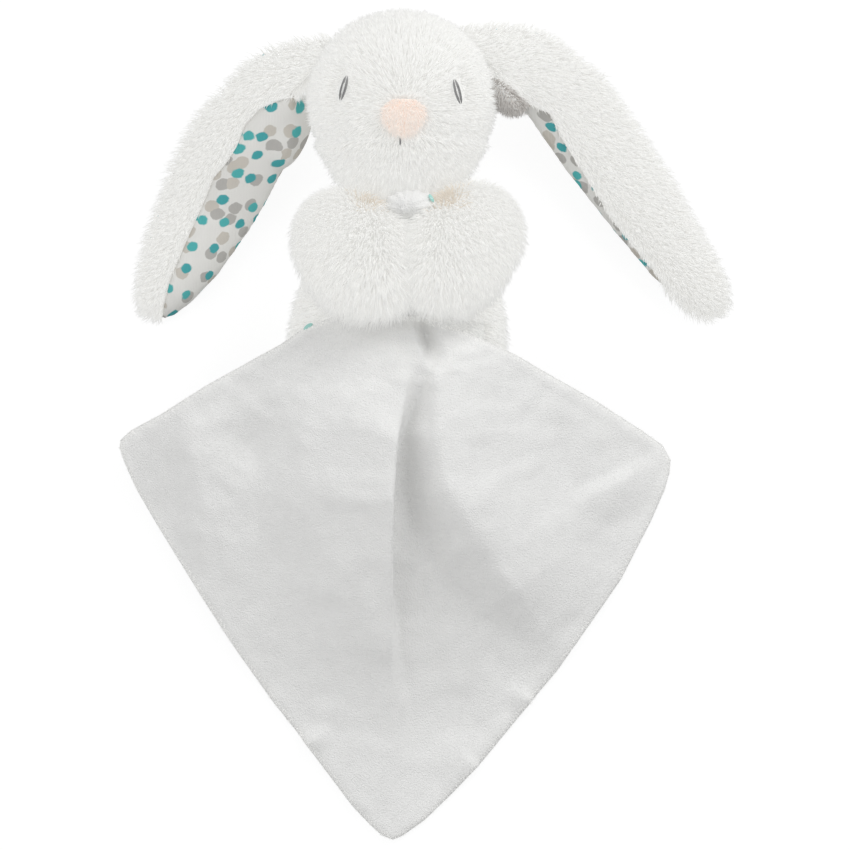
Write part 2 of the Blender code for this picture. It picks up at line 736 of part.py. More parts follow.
def fold_rise(x, y, crest, left_reach, right_reach):
    """Height that one fold adds: most along its crest, and none past its reach on either side."""
    hold = hold_point()
    rises = []
    for (right, below, high), (next_right, next_below, next_high) in zip(crest, crest[1:]):
        way = Vector((next_right - right, below - next_below))
        gap = Vector((x - hold.x - right, y - hold.y + below))
        share = min(1.0, max(0.0, gap.dot(way) / way.length_squared))
        away = (gap - way * share).length
        turn = (way.x * gap.y - way.y * gap.x) / max(away * way.length, FIT_GAP * FIT_GAP)
        to_right = min(1.0, max(0.0, (1 + FOLD_TURN * turn) / 2))
        near = min(1.0, away / (left_reach + (right_reach - left_reach) * to_right))
        rises.append((away, (high + (next_high - high) * share) * (1 - near ** FOLD_POWER) ** 2))
    return min(rises)[1]


def fold_height(x, y):
    """Height that the folds add: a crest from the paws with a steep side on its right, and a slacker one beside it."""
    main = fold_rise(x, y, MAIN_FOLD_CREST, MAIN_FOLD_LEFT_REACH, MAIN_FOLD_RIGHT_REACH)
    return main + fold_rise(x, y, SIDE_FOLD_CREST, SIDE_FOLD_LEFT_REACH, SIDE_FOLD_RIGHT_REACH)


def blanket_surface():
    """The surface between the two layers: a grid whose rows run from the left edge to the right edge."""
    left, right = side_path(-1), side_path(1)
    rows = len(left) - 1
    bm = bmesh.new()
    bmesh.ops.create_grid(bm, x_segments=BLANKET_COLUMNS, y_segments=rows, size=0.5)
    for vert in bm.verts:
        row = round((vert.co.y + 0.5) * rows)
        place = left[row].lerp(right[row], vert.co.x + 0.5)
        height = BLANKET_CLOTH + LAYER_GAP + body_cover(place.x, place.y) + fold_height(place.x, place.y)
        vert.co = (place.x, place.y, height)
    bmesh.ops.recalc_face_normals(bm, faces=bm.faces)
    if sum(face.normal.z for face in bm.faces) < 0:
        bmesh.ops.reverse_faces(bm, faces=bm.faces)
    return bm


def build_blanket(arms, pivot, velour, print_cloth, cutters):
    held = add_piece("blanket_held_corner", sweep(held_rings()), velour, arms)
    for cutter in cutters:
        cut(held, cutter)
    for name, material, side in (("blanket_back_panel", print_cloth, -1), ("blanket_front_panel", velour, 1)):
        bm = blanket_surface()
        grow(bm, side * LAYER_GAP / 2)
        panel = add_sheet(name, bm, material, pivot)
        thicken(panel, BLANKET_CLOTH, inwards=side < 0)


def main():
    clear_objects()
    plush = cloth_material("white_plush", (0.90, 0.90, 0.88), 0.95)
    pink = cloth_material("pink_plush", (0.95, 0.76, 0.68), 0.9)
    grey = cloth_material("grey_thread", (0.33, 0.33, 0.33), 0.6)
    filling = cloth_material("stuffing", (0.92, 0.92, 0.92), 1.0)
    thread = cloth_material("white_thread", (0.85, 0.85, 0.83), 0.7)
    print_cloth = cloth_material("printed_jersey", (0.75, 0.82, 0.80), 0.85)
    torso = empty_at("torso_pivot", (NECK_X, NECK_Y, NECK_Z))
    neck = empty_at("neck_pivot", (NECK_X, NECK_Y, NECK_Z), torso)
    head = empty_at("head_pivot", (NECK_X, NECK_Y, NECK_Z), neck)
    ball = bmesh.new()
    bmesh.ops.create_uvsphere(ball, u_segments=BALL_SEGMENTS, v_segments=BALL_RINGS, radius=NECK_RADIUS + FIT_GAP)
    bmesh.ops.translate(ball, verts=ball.verts, vec=(NECK_X, NECK_Y, NECK_Z))
    socket = add_cutter("neck_socket_cutter", ball)
    build_head(head, plush, pink, grey, filling, socket)
    for side, name in ((-1, "left"), (1, "right")):
        place, _ = ear_root(side)
        ear = empty_at(name + "_ear_pivot", (place.x, place.y, EAR_HINGE_Z), head)
        build_ear(side, name, ear, plush, print_cloth)
    build_body(torso, neck, plush, filling, thread)
    body_cutter = add_cutter("body_cutter", body_cutter_form())
    arms = empty_at("arms_pivot", (NECK_X, NECK_Y - SHOULDER_BELOW_NECK, SHOULDER_Z), torso)
    build_arms(arms, plush, filling, body_cutter)
    build_paw_tack(arms, thread)
    cutters = [body_cutter]
    for side, name in ((-1, "left"), (1, "right")):
        grown = arm_form(side)
        grow(grown, FIT_GAP)
        cutters.append(add_cutter(name + "_arm_cutter", grown))
    velour = cloth_material("white_velour", (0.88, 0.88, 0.87), 0.95)
    hinge = hold_point() + Vector((0, 0, HINGE_ABOVE_HOLD))
    blanket = empty_at("blanket_pivot", hinge, arms)
    build_blanket(arms, blanket, velour, print_cloth, cutters)


main()
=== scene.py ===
"""Comfort blanket lovey: a white plush rabbit with long ears that lies on its back and holds a square blanket.

Metres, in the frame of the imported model: +Z up from the floor, +Y towards the crown of the head.
"""

from math import cos, pi, radians, sin

import bmesh
import bpy
import numpy as np
from mathutils import Matrix, Vector, kdtree, noise


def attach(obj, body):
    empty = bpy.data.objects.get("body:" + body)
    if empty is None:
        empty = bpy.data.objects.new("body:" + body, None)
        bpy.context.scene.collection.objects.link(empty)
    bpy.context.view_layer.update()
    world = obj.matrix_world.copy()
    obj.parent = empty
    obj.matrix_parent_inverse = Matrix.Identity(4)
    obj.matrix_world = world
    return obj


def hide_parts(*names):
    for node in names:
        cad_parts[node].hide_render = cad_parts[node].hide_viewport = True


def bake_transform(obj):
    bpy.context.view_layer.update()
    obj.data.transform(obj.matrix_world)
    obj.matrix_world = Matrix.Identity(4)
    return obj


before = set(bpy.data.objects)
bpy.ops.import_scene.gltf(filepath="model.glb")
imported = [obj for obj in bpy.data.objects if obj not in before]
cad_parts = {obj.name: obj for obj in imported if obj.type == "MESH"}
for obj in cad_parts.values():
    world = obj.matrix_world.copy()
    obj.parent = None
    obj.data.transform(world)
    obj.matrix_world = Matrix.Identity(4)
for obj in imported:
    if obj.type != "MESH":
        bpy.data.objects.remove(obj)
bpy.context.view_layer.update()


# The set. A wide pale floor that shows white to the camera and keeps a faint contact shadow, a large soft lamp
# high on the upper right, a broad weak one on the left, and a camera that looks straight down from far off.
VIEW_X, VIEW_Y, VIEW_HEIGHT = -0.0009, 0.0005, 3.02
VIEW_WIDTH = 0.425
SENSOR_WIDTH = 36.0
FLOOR_SPAN = 3.0
WHITE = (1.0, 1.0, 1.0, 1.0)


def add_mesh(name, bm, material):
    mesh = bpy.data.meshes.new(name)
    bm.to_mesh(mesh)
    bm.free()
    mesh.shade_smooth()
    mesh.materials.append(material)
    piece = bpy.data.objects.new(name, mesh)
    bpy.context.scene.collection.objects.link(piece)
    return piece


def new_material(name):
    material = bpy.data.materials.new(name)
    material.use_nodes = True
    nodes, links = material.node_tree.nodes, material.node_tree.links
    return material, nodes, links, nodes["Principled BSDF"]


def set_inputs(node, **values):
    """Sets inputs of a node by their names, in which an underscore stands for a space."""
    for socket, value in values.items():
        node.inputs[socket.replace("_", " ")].default_value = value


def add_node(nodes, kind, **values):
    node = nodes.new("ShaderNode" + kind)
    set_inputs(node, **values)
    return node


floor_material, nodes, links, shader = new_material("pale_floor")
set_inputs(shader, Base_Color=(0.80, 0.80, 0.80, 1.0), Roughness=1.0, Specular_IOR_Level=0.0)
shade = add_node(nodes, "BsdfDiffuse", Color=(0.16, 0.16, 0.16, 1.0))
glow = add_node(nodes, "Emission", Strength=0.88)
both = nodes.new("ShaderNodeAddShader")
path = nodes.new("ShaderNodeLightPath")
pick = nodes.new("ShaderNodeMixShader")
seen = path.outputs["Is Camera Ray"]
for ray in ("Is Glossy Ray", "Is Transmission Ray"):
    either = nodes.new("ShaderNodeMath")
    either.operation = "MAXIMUM"
    links.new(seen, either.inputs[0])
    links.new(path.outputs[ray], either.inputs[1])
    seen = either.outputs[0]
links.new(shade.outputs[0], both.inputs[0])
links.new(glow.outputs[0], both.inputs[1])
links.new(seen, pick.inputs[0])
links.new(shader.outputs[0], pick.inputs[1])
links.new(both.outputs[0], pick.inputs[2])
links.new(pick.outputs[0], nodes["Material Output"].inputs["Surface"])
bm = bmesh.new()
bmesh.ops.create_grid(bm, x_segments=1, y_segments=1, size=FLOOR_SPAN)
add_mesh("floor", bm, floor_material)

world = bpy.data.worlds.new("studio")
world.use_nodes = True
bpy.context.scene.world = world
nodes, links = world.node_tree.nodes, world.node_tree.links
ambient = nodes["Background"]
set_inputs(ambient, Color=WHITE, Strength=0.65)
backdrop = add_node(nodes, "Background", Color=WHITE)
path = nodes.new("ShaderNodeLightPath")
pick = nodes.new("ShaderNodeMixShader")
links.new(path.outputs["Is Camera Ray"], pick.inputs[0])
links.new(ambient.outputs[0], pick.inputs[1])
links.new(backdrop.outputs[0], pick.inputs[2])
links.new(pick.outputs[0], nodes["World Output"].inputs["Surface"])

for name, place, size, watts in (
    ("key_lamp", (0.70, 0.85, 0.85), 0.7, 7.6),
    ("fill_lamp", (-1.5, 0.5, 1.5), 1.8, 11.0),
):
    lamp = bpy.data.lights.new(name, "AREA")
    lamp.size = size
    lamp.energy = watts
    holder = bpy.data.objects.new(name, lamp)
    holder.location = place
    holder.rotation_euler = (-Vector(place)).to_track_quat("-Z", "Y").to_euler()
    bpy.context.scene.collection.objects.link(holder)

lens = bpy.data.cameras.new("camera")
lens.sensor_width = SENSOR_WIDTH
lens.lens = SENSOR_WIDTH * VIEW_HEIGHT / VIEW_WIDTH
lens.clip_end = 20.0
camera = bpy.data.objects.new("camera", lens)
camera.location = (VIEW_X, VIEW_Y, VIEW_HEIGHT)
bpy.context.scene.collection.objects.link(camera)
bpy.context.scene.camera = camera
bpy.context.scene.view_settings.view_transform = "Standard"


# The head. White long-pile plush sewn over a ball of fibre filling: a backing cloth with thousands of fibres
# rooted in it, combed outwards from the nose, and split into front and back along the side seam.
HEAD_MIDDLE = Vector((-0.0126, 0.1610, 0.0378))
NOSE_SPOT = Vector((-0.0112, 0.1508, 0.0750))
HEAD_PILE, PILE_SPACING, PLUSH_DEPTH = 0.0082, 0.00078, 0.0018
HEAD_AXES = (0.0445, 0.0435, 0.0350)
CHIN_PILE = 1.1
FACE_LEVEL = 0.05
FIBRE_WIDTH, FIBRE_COLUMNS = 0.00046, 16
ROOT_DEPTH, CLUMP_REACH, FIBRES_PER_CLUMP = 0.0006, 0.006, 26
BACKING_VOXEL = 0.0018
FLOOR_CLEAR = 0.0003
EYE_CLEARING, EYE_CLEARING_LEAN = (0.0034, 0.0078), 0.26
EYE_SPOTS = (Vector((-0.0407, 0.1652, 0.0690)), Vector((0.0150, 0.1634, 0.0690)))


def backing_form(nodes, smoothing, inset, voxel=BACKING_VOXEL, fold=None):
    """The stuffed form of some nodes as one even, smoothed skin, drawn in by the depth of its pile. A fold is an
    egg-shaped bulge of the same cloth, given by the matrix that places it."""
    bm = bmesh.new()
    for node in nodes:
        bm.from_mesh(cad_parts[node].data)
    if fold:
        bmesh.ops.create_icosphere(bm, subdivisions=3, radius=1.0, matrix=fold)
    bmesh.ops.remove_doubles(bm, verts=bm.verts, dist=0.00001)
    mesh = bpy.data.meshes.new("form")
    bm.to_mesh(mesh)
    bm.free()
    form = bpy.data.objects.new("form", mesh)
    bpy.context.scene.collection.objects.link(form)
    remesh = form.modifiers.new("even", "REMESH")
    remesh.mode = "VOXEL"
    remesh.voxel_size = voxel
    bpy.context.view_layer.update()
    even = form.evaluated_get(bpy.context.evaluated_depsgraph_get())
    bm = bmesh.new()
    bm.from_mesh(even.data)
    bpy.data.objects.remove(form, do_unlink=True)
    for _ in range(smoothing):
        bmesh.ops.smooth_vert(bm, verts=bm.verts, factor=0.5, use_axis_x=True, use_axis_y=True, use_axis_z=True)
    bm.normal_update()
    for vert in bm.verts:
        vert.co -= vert.normal * inset
    return bm


def two_tones(nodes, low, high, low_at=0.0, high_at=1.0):
    """A ramp from one colour to another."""
    ramp = nodes.new("ShaderNodeValToRGB")
    for element, colour, place in zip(ramp.color_ramp.elements, (low, high), (low_at, high_at)):
        element.color = (*colour, 1.0)
        element.position = place
    return ramp


def add_bump(nodes, links, shader, height, **values):
    bump = add_node(nodes, "Bump", **values)
    links.new(height, bump.inputs["Height"])
    links.new(bump.outputs["Normal"], shader.inputs["Normal"])


def backing_material(name, colour):
    """Knitted ground of a plush cloth: fine loops that show only where the pile parts."""
    material, nodes, links, shader = new_material(name)
    place = nodes.new("ShaderNodeTexCoord")
    loops = add_node(nodes, "TexVoronoi", Scale=900.0)
    tint = two_tones(nodes, [part * 0.82 for part in colour], colour)
    links.new(place.outputs["Object"], loops.inputs["Vector"])
    links.new(loops.outputs["Distance"], tint.inputs["Fac"])
    links.new(tint.outputs["Color"], shader.inputs["Base Color"])
    add_bump(nodes, links, shader, loops.outputs["Distance"], Strength=0.4, Distance=0.0005)
    set_inputs(shader, Roughness=0.95, Specular_IOR_Level=0.1)
    # the emission is painted light: a constant glow that lifts the ground seen between the fibres
    set_inputs(shader, Emission_Color=(*colour, 1.0), Emission_Strength=0.22)
    return material


def fibre_material(name, root, tip, shade_range, glow):
    """Colour of a pile from the fibre map: along v from root to tip, darker at the root as a painted shade deep in
    the pile, and across u from one fibre to the next.
    """
    material, nodes, links, shader = new_material(name)
    where = nodes.new("ShaderNodeUVMap")
    where.uv_map = "OFBake"
    split = nodes.new("ShaderNodeSeparateXYZ")
    along = two_tones(nodes, root, tip, high_at=0.7)
    each = nodes.new("ShaderNodeTexWhiteNoise")
    each.noise_dimensions = "1D"
    steps = nodes.new("ShaderNodeMath")
    steps.operation = "MULTIPLY"
    steps.inputs[1].default_value = FIBRE_COLUMNS
    whole = nodes.new("ShaderNodeMath")
    whole.operation = "FLOOR"
    level = add_node(nodes, "MapRange", To_Min=shade_range[0], To_Max=shade_range[1])
    tone = nodes.new("ShaderNodeMix")
    tone.data_type = "RGBA"
    tone.blend_type = "MULTIPLY"
    tone.inputs["Factor"].default_value = 1.0
    links.new(where.outputs["UV"], split.inputs["Vector"])
    links.new(split.outputs["Y"], along.inputs["Fac"])
    links.new(split.outputs["X"], steps.inputs[0])
    links.new(steps.outputs[0], whole.inputs[0])
    links.new(whole.outputs[0], each.inputs["W"])
    links.new(each.outputs["Value"], level.inputs["Value"])
    links.new(along.outputs["Color"], tone.inputs["A"])
    links.new(level.outputs["Result"], tone.inputs["B"])
    links.new(tone.outputs["Result"], shader.inputs["Base Color"])
    set_inputs(shader, Roughness=0.85, Specular_IOR_Level=0.15)
    # the emission is painted light: a constant glow that lifts the whole pile in place of the light that white
    # fibres scatter among themselves
    set_inputs(shader, Emission_Color=(*[min(1.0, part * 1.72) for part in tip], 1.0), Emission_Strength=glow)
    return material


def fibre_template():
    """One fibre lock as an operator makes it: a three-sided cone with a ring half way. Height 1, root radius 1."""
    bm = bmesh.new()
    bmesh.ops.create_cone(bm, cap_ends=True, segments=3, radius1=1.0, radius2=0.0, depth=1.0)
    bmesh.ops.remove_doubles(bm, verts=bm.verts, dist=0.0001)
    bmesh.ops.translate(bm, verts=bm.verts, vec=(0, 0, 0.5))
    everything = bm.verts[:] + bm.edges[:] + bm.faces[:]
    bmesh.ops.bisect_plane(bm, geom=everything, plane_co=(0, 0, 0.5), plane_no=(0, 0, 1))
    bm.verts.index_update()
    points = np.array([vert.co[:] for vert in bm.verts])
    faces = [[vert.index for vert in face.verts] for face in bm.faces]
    bm.free()
    middle = np.abs(points[:, 2] - 0.5) < 0.01
    points[middle, :2] *= 1.7
    return points, faces


def spread_spots(bm, spacing, seed):
    """Evenly spread spots on a skin with their normals, as arrays."""
    bmesh.ops.triangulate(bm, faces=bm.faces[:])
    bm.normal_update()
    corners = np.array([[vert.co[:] for vert in face.verts] for face in bm.faces])
    leans = np.array([[vert.normal[:] for vert in face.verts] for face in bm.faces])
    crossed = np.cross(corners[:, 1] - corners[:, 0], corners[:, 2] - corners[:, 0])
    total = np.cumsum(np.linalg.norm(crossed, axis=1) / 2)
    count = int(total[-1] / spacing**2)
    dice = np.random.default_rng(seed)
    picks = np.searchsorted(total, (np.arange(count) + dice.random(count)) / count * total[-1])
    picks = np.minimum(picks, len(corners) - 1)
    first, second = np.sqrt(dice.random(count)), dice.random(count)
    shares = np.stack([1 - first, first * (1 - second), first * second], axis=1)[:, :, None]
    return (corners[picks] * shares).sum(axis=1), unit((leans[picks] * shares).sum(axis=1))


def unit(rows):
    return rows / np.maximum(np.linalg.norm(rows, axis=1, keepdims=True), 1e-9)


def plant_fibres(name, spots, normals, comb, lengths, material, seed, width=FIBRE_WIDTH, clump=0.45, lean=1.0):
    """Roots a curved fibre lock at every spot. They rise along the normal, bend over with the comb and draw
    together in small clumps at their tips."""
    dice = np.random.default_rng(seed)
    count = len(spots)
    flow = unit(comb - normals * (comb * normals).sum(axis=1, keepdims=True))
    jitter = dice.normal(0, 0.16, (count, 3))
    start = unit(normals + 0.25 * lean * flow + 0.8 * jitter)
    finish = unit(0.55 * normals + lean * flow + 1.2 * jitter)
    lengths = (lengths * dice.uniform(0.72, 1.12, count))[:, None]
    base = spots - normals * ROOT_DEPTH
    half = base + lengths * (0.45 * start + 0.10 * finish)
    tip = base + lengths * (0.5 * start + 0.5 * finish)
    centres = dice.permutation(count)[: max(count // FIBRES_PER_CLUMP, 1)]
    tree = kdtree.KDTree(len(centres))
    for order, centre in enumerate(centres):
        tree.insert(tip[centre], order)
    tree.balance()
    nearest = np.array([centres[tree.find(point)[1]] for point in tip])
    pull = np.clip(1.0 - np.linalg.norm(tip[nearest] - tip, axis=1, keepdims=True) / CLUMP_REACH, 0, 1)
    move = (tip[nearest] - tip) * clump * pull * dice.uniform(0.5, 1.2, (count, 1))
    half, tip = half + move * 0.3, tip + move
    points, faces = fibre_template()
    side = unit(np.cross(finish, normals) + 1e-6)
    across = unit(np.cross(start, side))
    thick = width / 2 * dice.uniform(0.75, 1.25, (count, 1))
    path = (base, half, tip)
    verts = np.empty((count, len(points), 3))
    for index, (x, y, z) in enumerate(points):
        verts[:, index] = path[round(z * 2)] + thick * (x * side + y * across)
    verts[:, :, 2] = np.maximum(verts[:, :, 2], FLOOR_CLEAR)
    mesh = bpy.data.meshes.new(name)
    mesh.vertices.add(count * len(points))
    mesh.vertices.foreach_set("co", verts.ravel())
    corners = np.concatenate([np.array(face) for face in faces])
    sizes = np.array([len(face) for face in faces])
    offsets = np.arange(count)[:, None] * len(points)
    mesh.loops.add(count * len(corners))
    mesh.loops.foreach_set("vertex_index", (offsets + corners).ravel().astype(np.int32))
    starts = np.concatenate([[0], np.cumsum(sizes)[:-1]])
    mesh.polygons.add(count * len(sizes))
    mesh.polygons.foreach_set("loop_start", (np.arange(count)[:, None] * len(corners) + starts).ravel())
    mesh.update(calc_edges=True)
    turn = (np.arctan2(points[:, 1], points[:, 0]) / (2 * pi)) % 1.0
    column = dice.integers(0, FIBRE_COLUMNS, count)
    u = (column[:, None] + 0.12 + 0.76 * turn[corners]) / FIBRE_COLUMNS
    v = np.broadcast_to(0.03 + 0.94 * points[corners, 2], u.shape)
    layer = mesh.uv_layers.new(name="OFBake")
    layer.uv.foreach_set("vector", np.stack([u, v], axis=2).ravel())
    mesh.shade_smooth()
    mesh.materials.append(material)
    piece = bpy.data.objects.new(name, mesh)
    bpy.context.scene.collection.objects.link(piece)
    return piece


plush_ground = backing_material("plush_ground", (0.78, 0.78, 0.765))
white_pile = fibre_material("white_pile", (0.47, 0.46, 0.44), (0.56, 0.56, 0.55), (0.97, 1.0), 0.45)


def head_comb(spots):
    """Away from the nose, and a little down towards the chin."""
    away = spots - np.array(NOSE_SPOT)
    return unit(away) + np.array([0.0, -0.25, -0.1])


def near_eyes(spots):
    """Share of the full pile length: short on and beside the eyes, so that they show."""
    share = np.ones(len(spots))
    for eye, turn in zip(EYE_SPOTS, (-EYE_CLEARING_LEAN, EYE_CLEARING_LEAN)):
        right = (spots[:, 0] - eye.x) * cos(turn) + (spots[:, 1] - eye.y) * sin(turn)
        up = (spots[:, 1] - eye.y) * cos(turn) - (spots[:, 0] - eye.x) * sin(turn)
        reach = np.hypot(right / EYE_CLEARING[0], up / EYE_CLEARING[1])
        share = np.minimum(share, np.where(spots[:, 2] > FACE_LEVEL, np.clip(reach - 0.50, 0.0, 1.0), 1.0))
    return share


head_form = backing_form(["head_stuffing"], 6, PLUSH_DEPTH)
for vert in head_form.verts:
    way = vert.co - HEAD_MIDDLE
    reach = sum((part / axis) ** 2 for part, axis in zip(way, HEAD_AXES))
    chin = min(1.0, max(0.0, (vert.co.z - 0.022) / 0.010)) if way.y < -0.02 else 0.0
    vert.co = HEAD_MIDDLE + way * (1 + (reach**-0.5 - 1) * chin)
head_form.normal_update()
spots, normals = spread_spots(head_form, PILE_SPACING, 11)
head_backing = add_mesh("head_backing", head_form, plush_ground)
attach(head_backing, "head")
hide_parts("face_left_panel", "face_right_panel", "head_back_panel", "head_stuffing")
from_nose = np.hypot((spots[:, 0] - NOSE_SPOT.x) / 0.0110, (spots[:, 1] - NOSE_SPOT.y) / 0.0092)
on_nose = (from_nose < 0.95) & (spots[:, 2] > FACE_LEVEL)
muzzle = np.where(spots[:, 2] > FACE_LEVEL, np.clip(0.35 + 0.35 * from_nose, 0.5, 1.0), 1.0)
lengths = HEAD_PILE * muzzle * near_eyes(spots)
chin = np.clip((0.134 - spots[:, 1]) / 0.012, 0, 1) * np.clip((spots[:, 2] - 0.030) / 0.010, 0, 1)
lengths *= 1 + CHIN_PILE * chin
comb = head_comb(spots)
for name, chosen in (
    ("face_pile_left", (spots[:, 2] > HEAD_MIDDLE.z) & (spots[:, 0] < HEAD_MIDDLE.x)),
    ("face_pile_right", (spots[:, 2] > HEAD_MIDDLE.z) & (spots[:, 0] >= HEAD_MIDDLE.x)),
    ("head_back_pile", spots[:, 2] <= HEAD_MIDDLE.z),
):
    chosen &= ~on_nose & (lengths > 0.0012)
    if name == "head_back_pile":
        lengths = np.minimum(lengths, 0.0015 + spots[:, 2] * 1.1)
    pile = plant_fibres(name, spots[chosen], normals[chosen], comb[chosen], lengths[chosen], white_pile, 21)
    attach(pile, "head")


# The nose. A rounded triangle of pink short-pile plush sewn over the end of the face seam, which draws a shallow
# crease up from its lower point.
NOSE_WIDTH, NOSE_LENGTH, NOSE_PILE = 0.0212, 0.0182, 0.0046
NOSE_DOME, NOSE_CREASE, NOSE_SINK, PATCH_THICKNESS = 0.0030, 0.0016, 0.0012, 0.0010
FACE_AXES = (0.0478, 0.0450, 0.0383)
NOSE_OUTLINE_SHARES = ((0.0, 0.48), (0.27, 0.46), (0.45, 0.29), (0.50, 0.05), (0.42, -0.20), (0.22, -0.42))

pink_ground = backing_material("pink_ground", (0.93, 0.78, 0.70))
pink_pile = fibre_material("pink_pile", (0.56, 0.49, 0.45), (0.59, 0.54, 0.505), (0.97, 1.0), 0.44)


def face_height(x, y):
    """Height of the sewn face over a place, under its pile."""
    right, up = (x - HEAD_MIDDLE.x) / FACE_AXES[0], (y - HEAD_MIDDLE.y) / FACE_AXES[1]
    return HEAD_MIDDLE.z + FACE_AXES[2] * np.sqrt(np.maximum(1 - right**2 - up**2, 0))


bm = bmesh.new()
outline = [Vector((x, y, 0)) for x, y in NOSE_OUTLINE_SHARES]
outline += [Vector((-x, y, 0)) for x, y in ((0.0, -0.50), *NOSE_OUTLINE_SHARES[:0:-1])]
corners = [
    bm.verts.new((NOSE_SPOT.x + place.x * NOSE_WIDTH, NOSE_SPOT.y + place.y * NOSE_LENGTH, 0)) for place in outline
]
bmesh.ops.poke(bm, faces=[bm.faces.new(corners)])
bmesh.ops.subdivide_edges(bm, edges=bm.edges[:], cuts=5, use_grid_fill=True, smooth=0.2)
for vert in bm.verts:
    right, up = (vert.co.x - NOSE_SPOT.x) / NOSE_WIDTH, (vert.co.y - NOSE_SPOT.y) / NOSE_LENGTH
    dome = NOSE_DOME * max(0.0, 1 - 3.6 * (right**2 + up**2))
    crease = NOSE_CREASE * 2 ** (-((right / 0.06) ** 2)) * min(1.0, max(0.0, 0.5 - up * 2.2))
    vert.co.z = face_height(vert.co.x, vert.co.y) - NOSE_SINK + dome - crease
bmesh.ops.recalc_face_normals(bm, faces=bm.faces)
if sum(face.normal.z for face in bm.faces) < 0:
    bmesh.ops.reverse_faces(bm, faces=bm.faces)
spots, normals = spread_spots(bm, 0.00052, 31)
bmesh.ops.solidify(bm, geom=bm.faces[:], thickness=PATCH_THICKNESS)
nose_patch = add_mesh("nose_backing", bm, pink_ground)
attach(nose_patch, "head")
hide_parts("nose_patch")
away = spots - np.array([NOSE_SPOT.x, NOSE_SPOT.y + 0.008, 0.060])
lengths = np.full(len(spots), NOSE_PILE)
nose_pile = plant_fibres("nose_pile", spots, normals, away, lengths, pink_pile, 32, width=0.0004, lean=0.8)
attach(nose_pile, "head")


# The eyes and the mouth. Satin stitches of grey rayon thread straight through the plush, with a short white
# highlight low in each eye; the mouth is one upright stitch below the nose.
EYE_LENGTH, EYE_HALF_WIDTH, EYE_LEAN = 0.0130, 0.0013, 0.27
EYE_STEPS, MOUTH_STEPS = 6, 4
EYE_PARTS = (
    # part, where its threads lie across the eye, its start and end along the eye, how thick and how high it is
    ("threads", (-1.0, -0.5, 0.5, 1.0), -0.48, 0.48, 1.4, 0.0011),
    ("highlight", (-0.25, 0.1), -0.30, 0.22, 1.0, 0.0015),
)
THREAD_RADIUS = 0.00023
MOUTH_DROP, MOUTH_LENGTH = 0.0100, 0.0040


def thread_material(name, dark, light):
    """Twisted shiny thread: bands of lighter and darker plies across it."""
    material, nodes, links, shader = new_material(name)
    place = nodes.new("ShaderNodeTexCoord")
    plies = add_node(nodes, "TexWave", Scale=900.0, Distortion=2.0)
    tint = two_tones(nodes, dark, light)
    links.new(place.outputs["Object"], plies.inputs["Vector"])
    links.new(plies.outputs["Fac"], tint.inputs["Fac"])
    links.new(tint.outputs["Color"], shader.inputs["Base Color"])
    add_bump(nodes, links, shader, plies.outputs["Fac"], Distance=0.0001)
    set_inputs(shader, Roughness=0.45)
    return material


def lay_thread(bm, points, radius):
    """A stitch: a thin round thread through a few points, closed to a point at both ends."""
    steps = len(points) - 1
    for vert in bmesh.ops.create_grid(bm, x_segments=steps, y_segments=6, size=0.5)["verts"]:
        place = (vert.co.x + 0.5) * steps
        turn = (vert.co.y + 0.5) * 2 * pi
        step = min(int(place + 0.001), steps - 1)
        side = (points[step + 1] - points[step]).cross(Vector((0, 0, 1))).normalized()
        up = side.cross(points[step + 1] - points[step]).normalized()
        thin = 0.1 if place < 0.01 or place > steps - 0.01 else 1.0
        around = (side * cos(turn) + up * sin(turn)) * radius * thin
        vert.co = points[step].lerp(points[step + 1], place - step) + around
    bmesh.ops.remove_doubles(bm, verts=bm.verts, dist=0.000001)
    bmesh.ops.holes_fill(bm, edges=bm.edges)


def on_face(x, y, lift):
    return Vector((x, y, float(face_height(x, y)) + lift))


grey_thread = thread_material("grey_thread", (0.15, 0.15, 0.15), (0.44, 0.44, 0.44))
white_thread = thread_material("white_thread", (0.80, 0.80, 0.79), (0.92, 0.92, 0.91))
for eye, lean, node in (
    (EYE_SPOTS[0], -EYE_LEAN, "left_eye_embroidery"), (EYE_SPOTS[1], EYE_LEAN, "right_eye_embroidery")
):
    for part, rows, start, stop, thick, height in EYE_PARTS:
        bm = bmesh.new()
        for order, row in enumerate(rows):
            points = []
            for step in range(EYE_STEPS + 1):
                along = start + (stop - start) * step / EYE_STEPS + 0.012 * (-1) ** order
                bulge = cos(along * pi) ** 0.8 if abs(along) < 0.5 else 0.0
                across = row * EYE_HALF_WIDTH * (0.25 + 0.75 * bulge)
                x = eye.x + across * cos(lean) - along * EYE_LENGTH * sin(lean)
                y = eye.y + across * sin(lean) + along * EYE_LENGTH * cos(lean)
                points.append(on_face(x, y, height - 0.0014 * (2 * abs(step / EYE_STEPS - 0.5)) ** 3))
            lay_thread(bm, points, THREAD_RADIUS * thick)
        bmesh.ops.recalc_face_normals(bm, faces=bm.faces)
        material = grey_thread if part == "threads" else white_thread
        stitches = add_mesh(node.replace("embroidery", part), bm, material)
        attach(stitches, "head")
        if part == "threads":
            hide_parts(node)

bm = bmesh.new()
for shift in (-0.00062, -0.00018):
    points = []
    for step in range(MOUTH_STEPS + 1):
        share = step / MOUTH_STEPS
        y = NOSE_SPOT.y - MOUTH_DROP - MOUTH_LENGTH * share
        points.append(on_face(HEAD_MIDDLE.x + shift, y, 0.0026 - 0.0016 * (2 * abs(share - 0.5)) ** 3))
    lay_thread(bm, points, THREAD_RADIUS)
bmesh.ops.recalc_face_normals(bm, faces=bm.faces)
mouth = add_mesh("mouth_threads", bm, grey_thread)
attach(mouth, "head")
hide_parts("mouth_stitch")


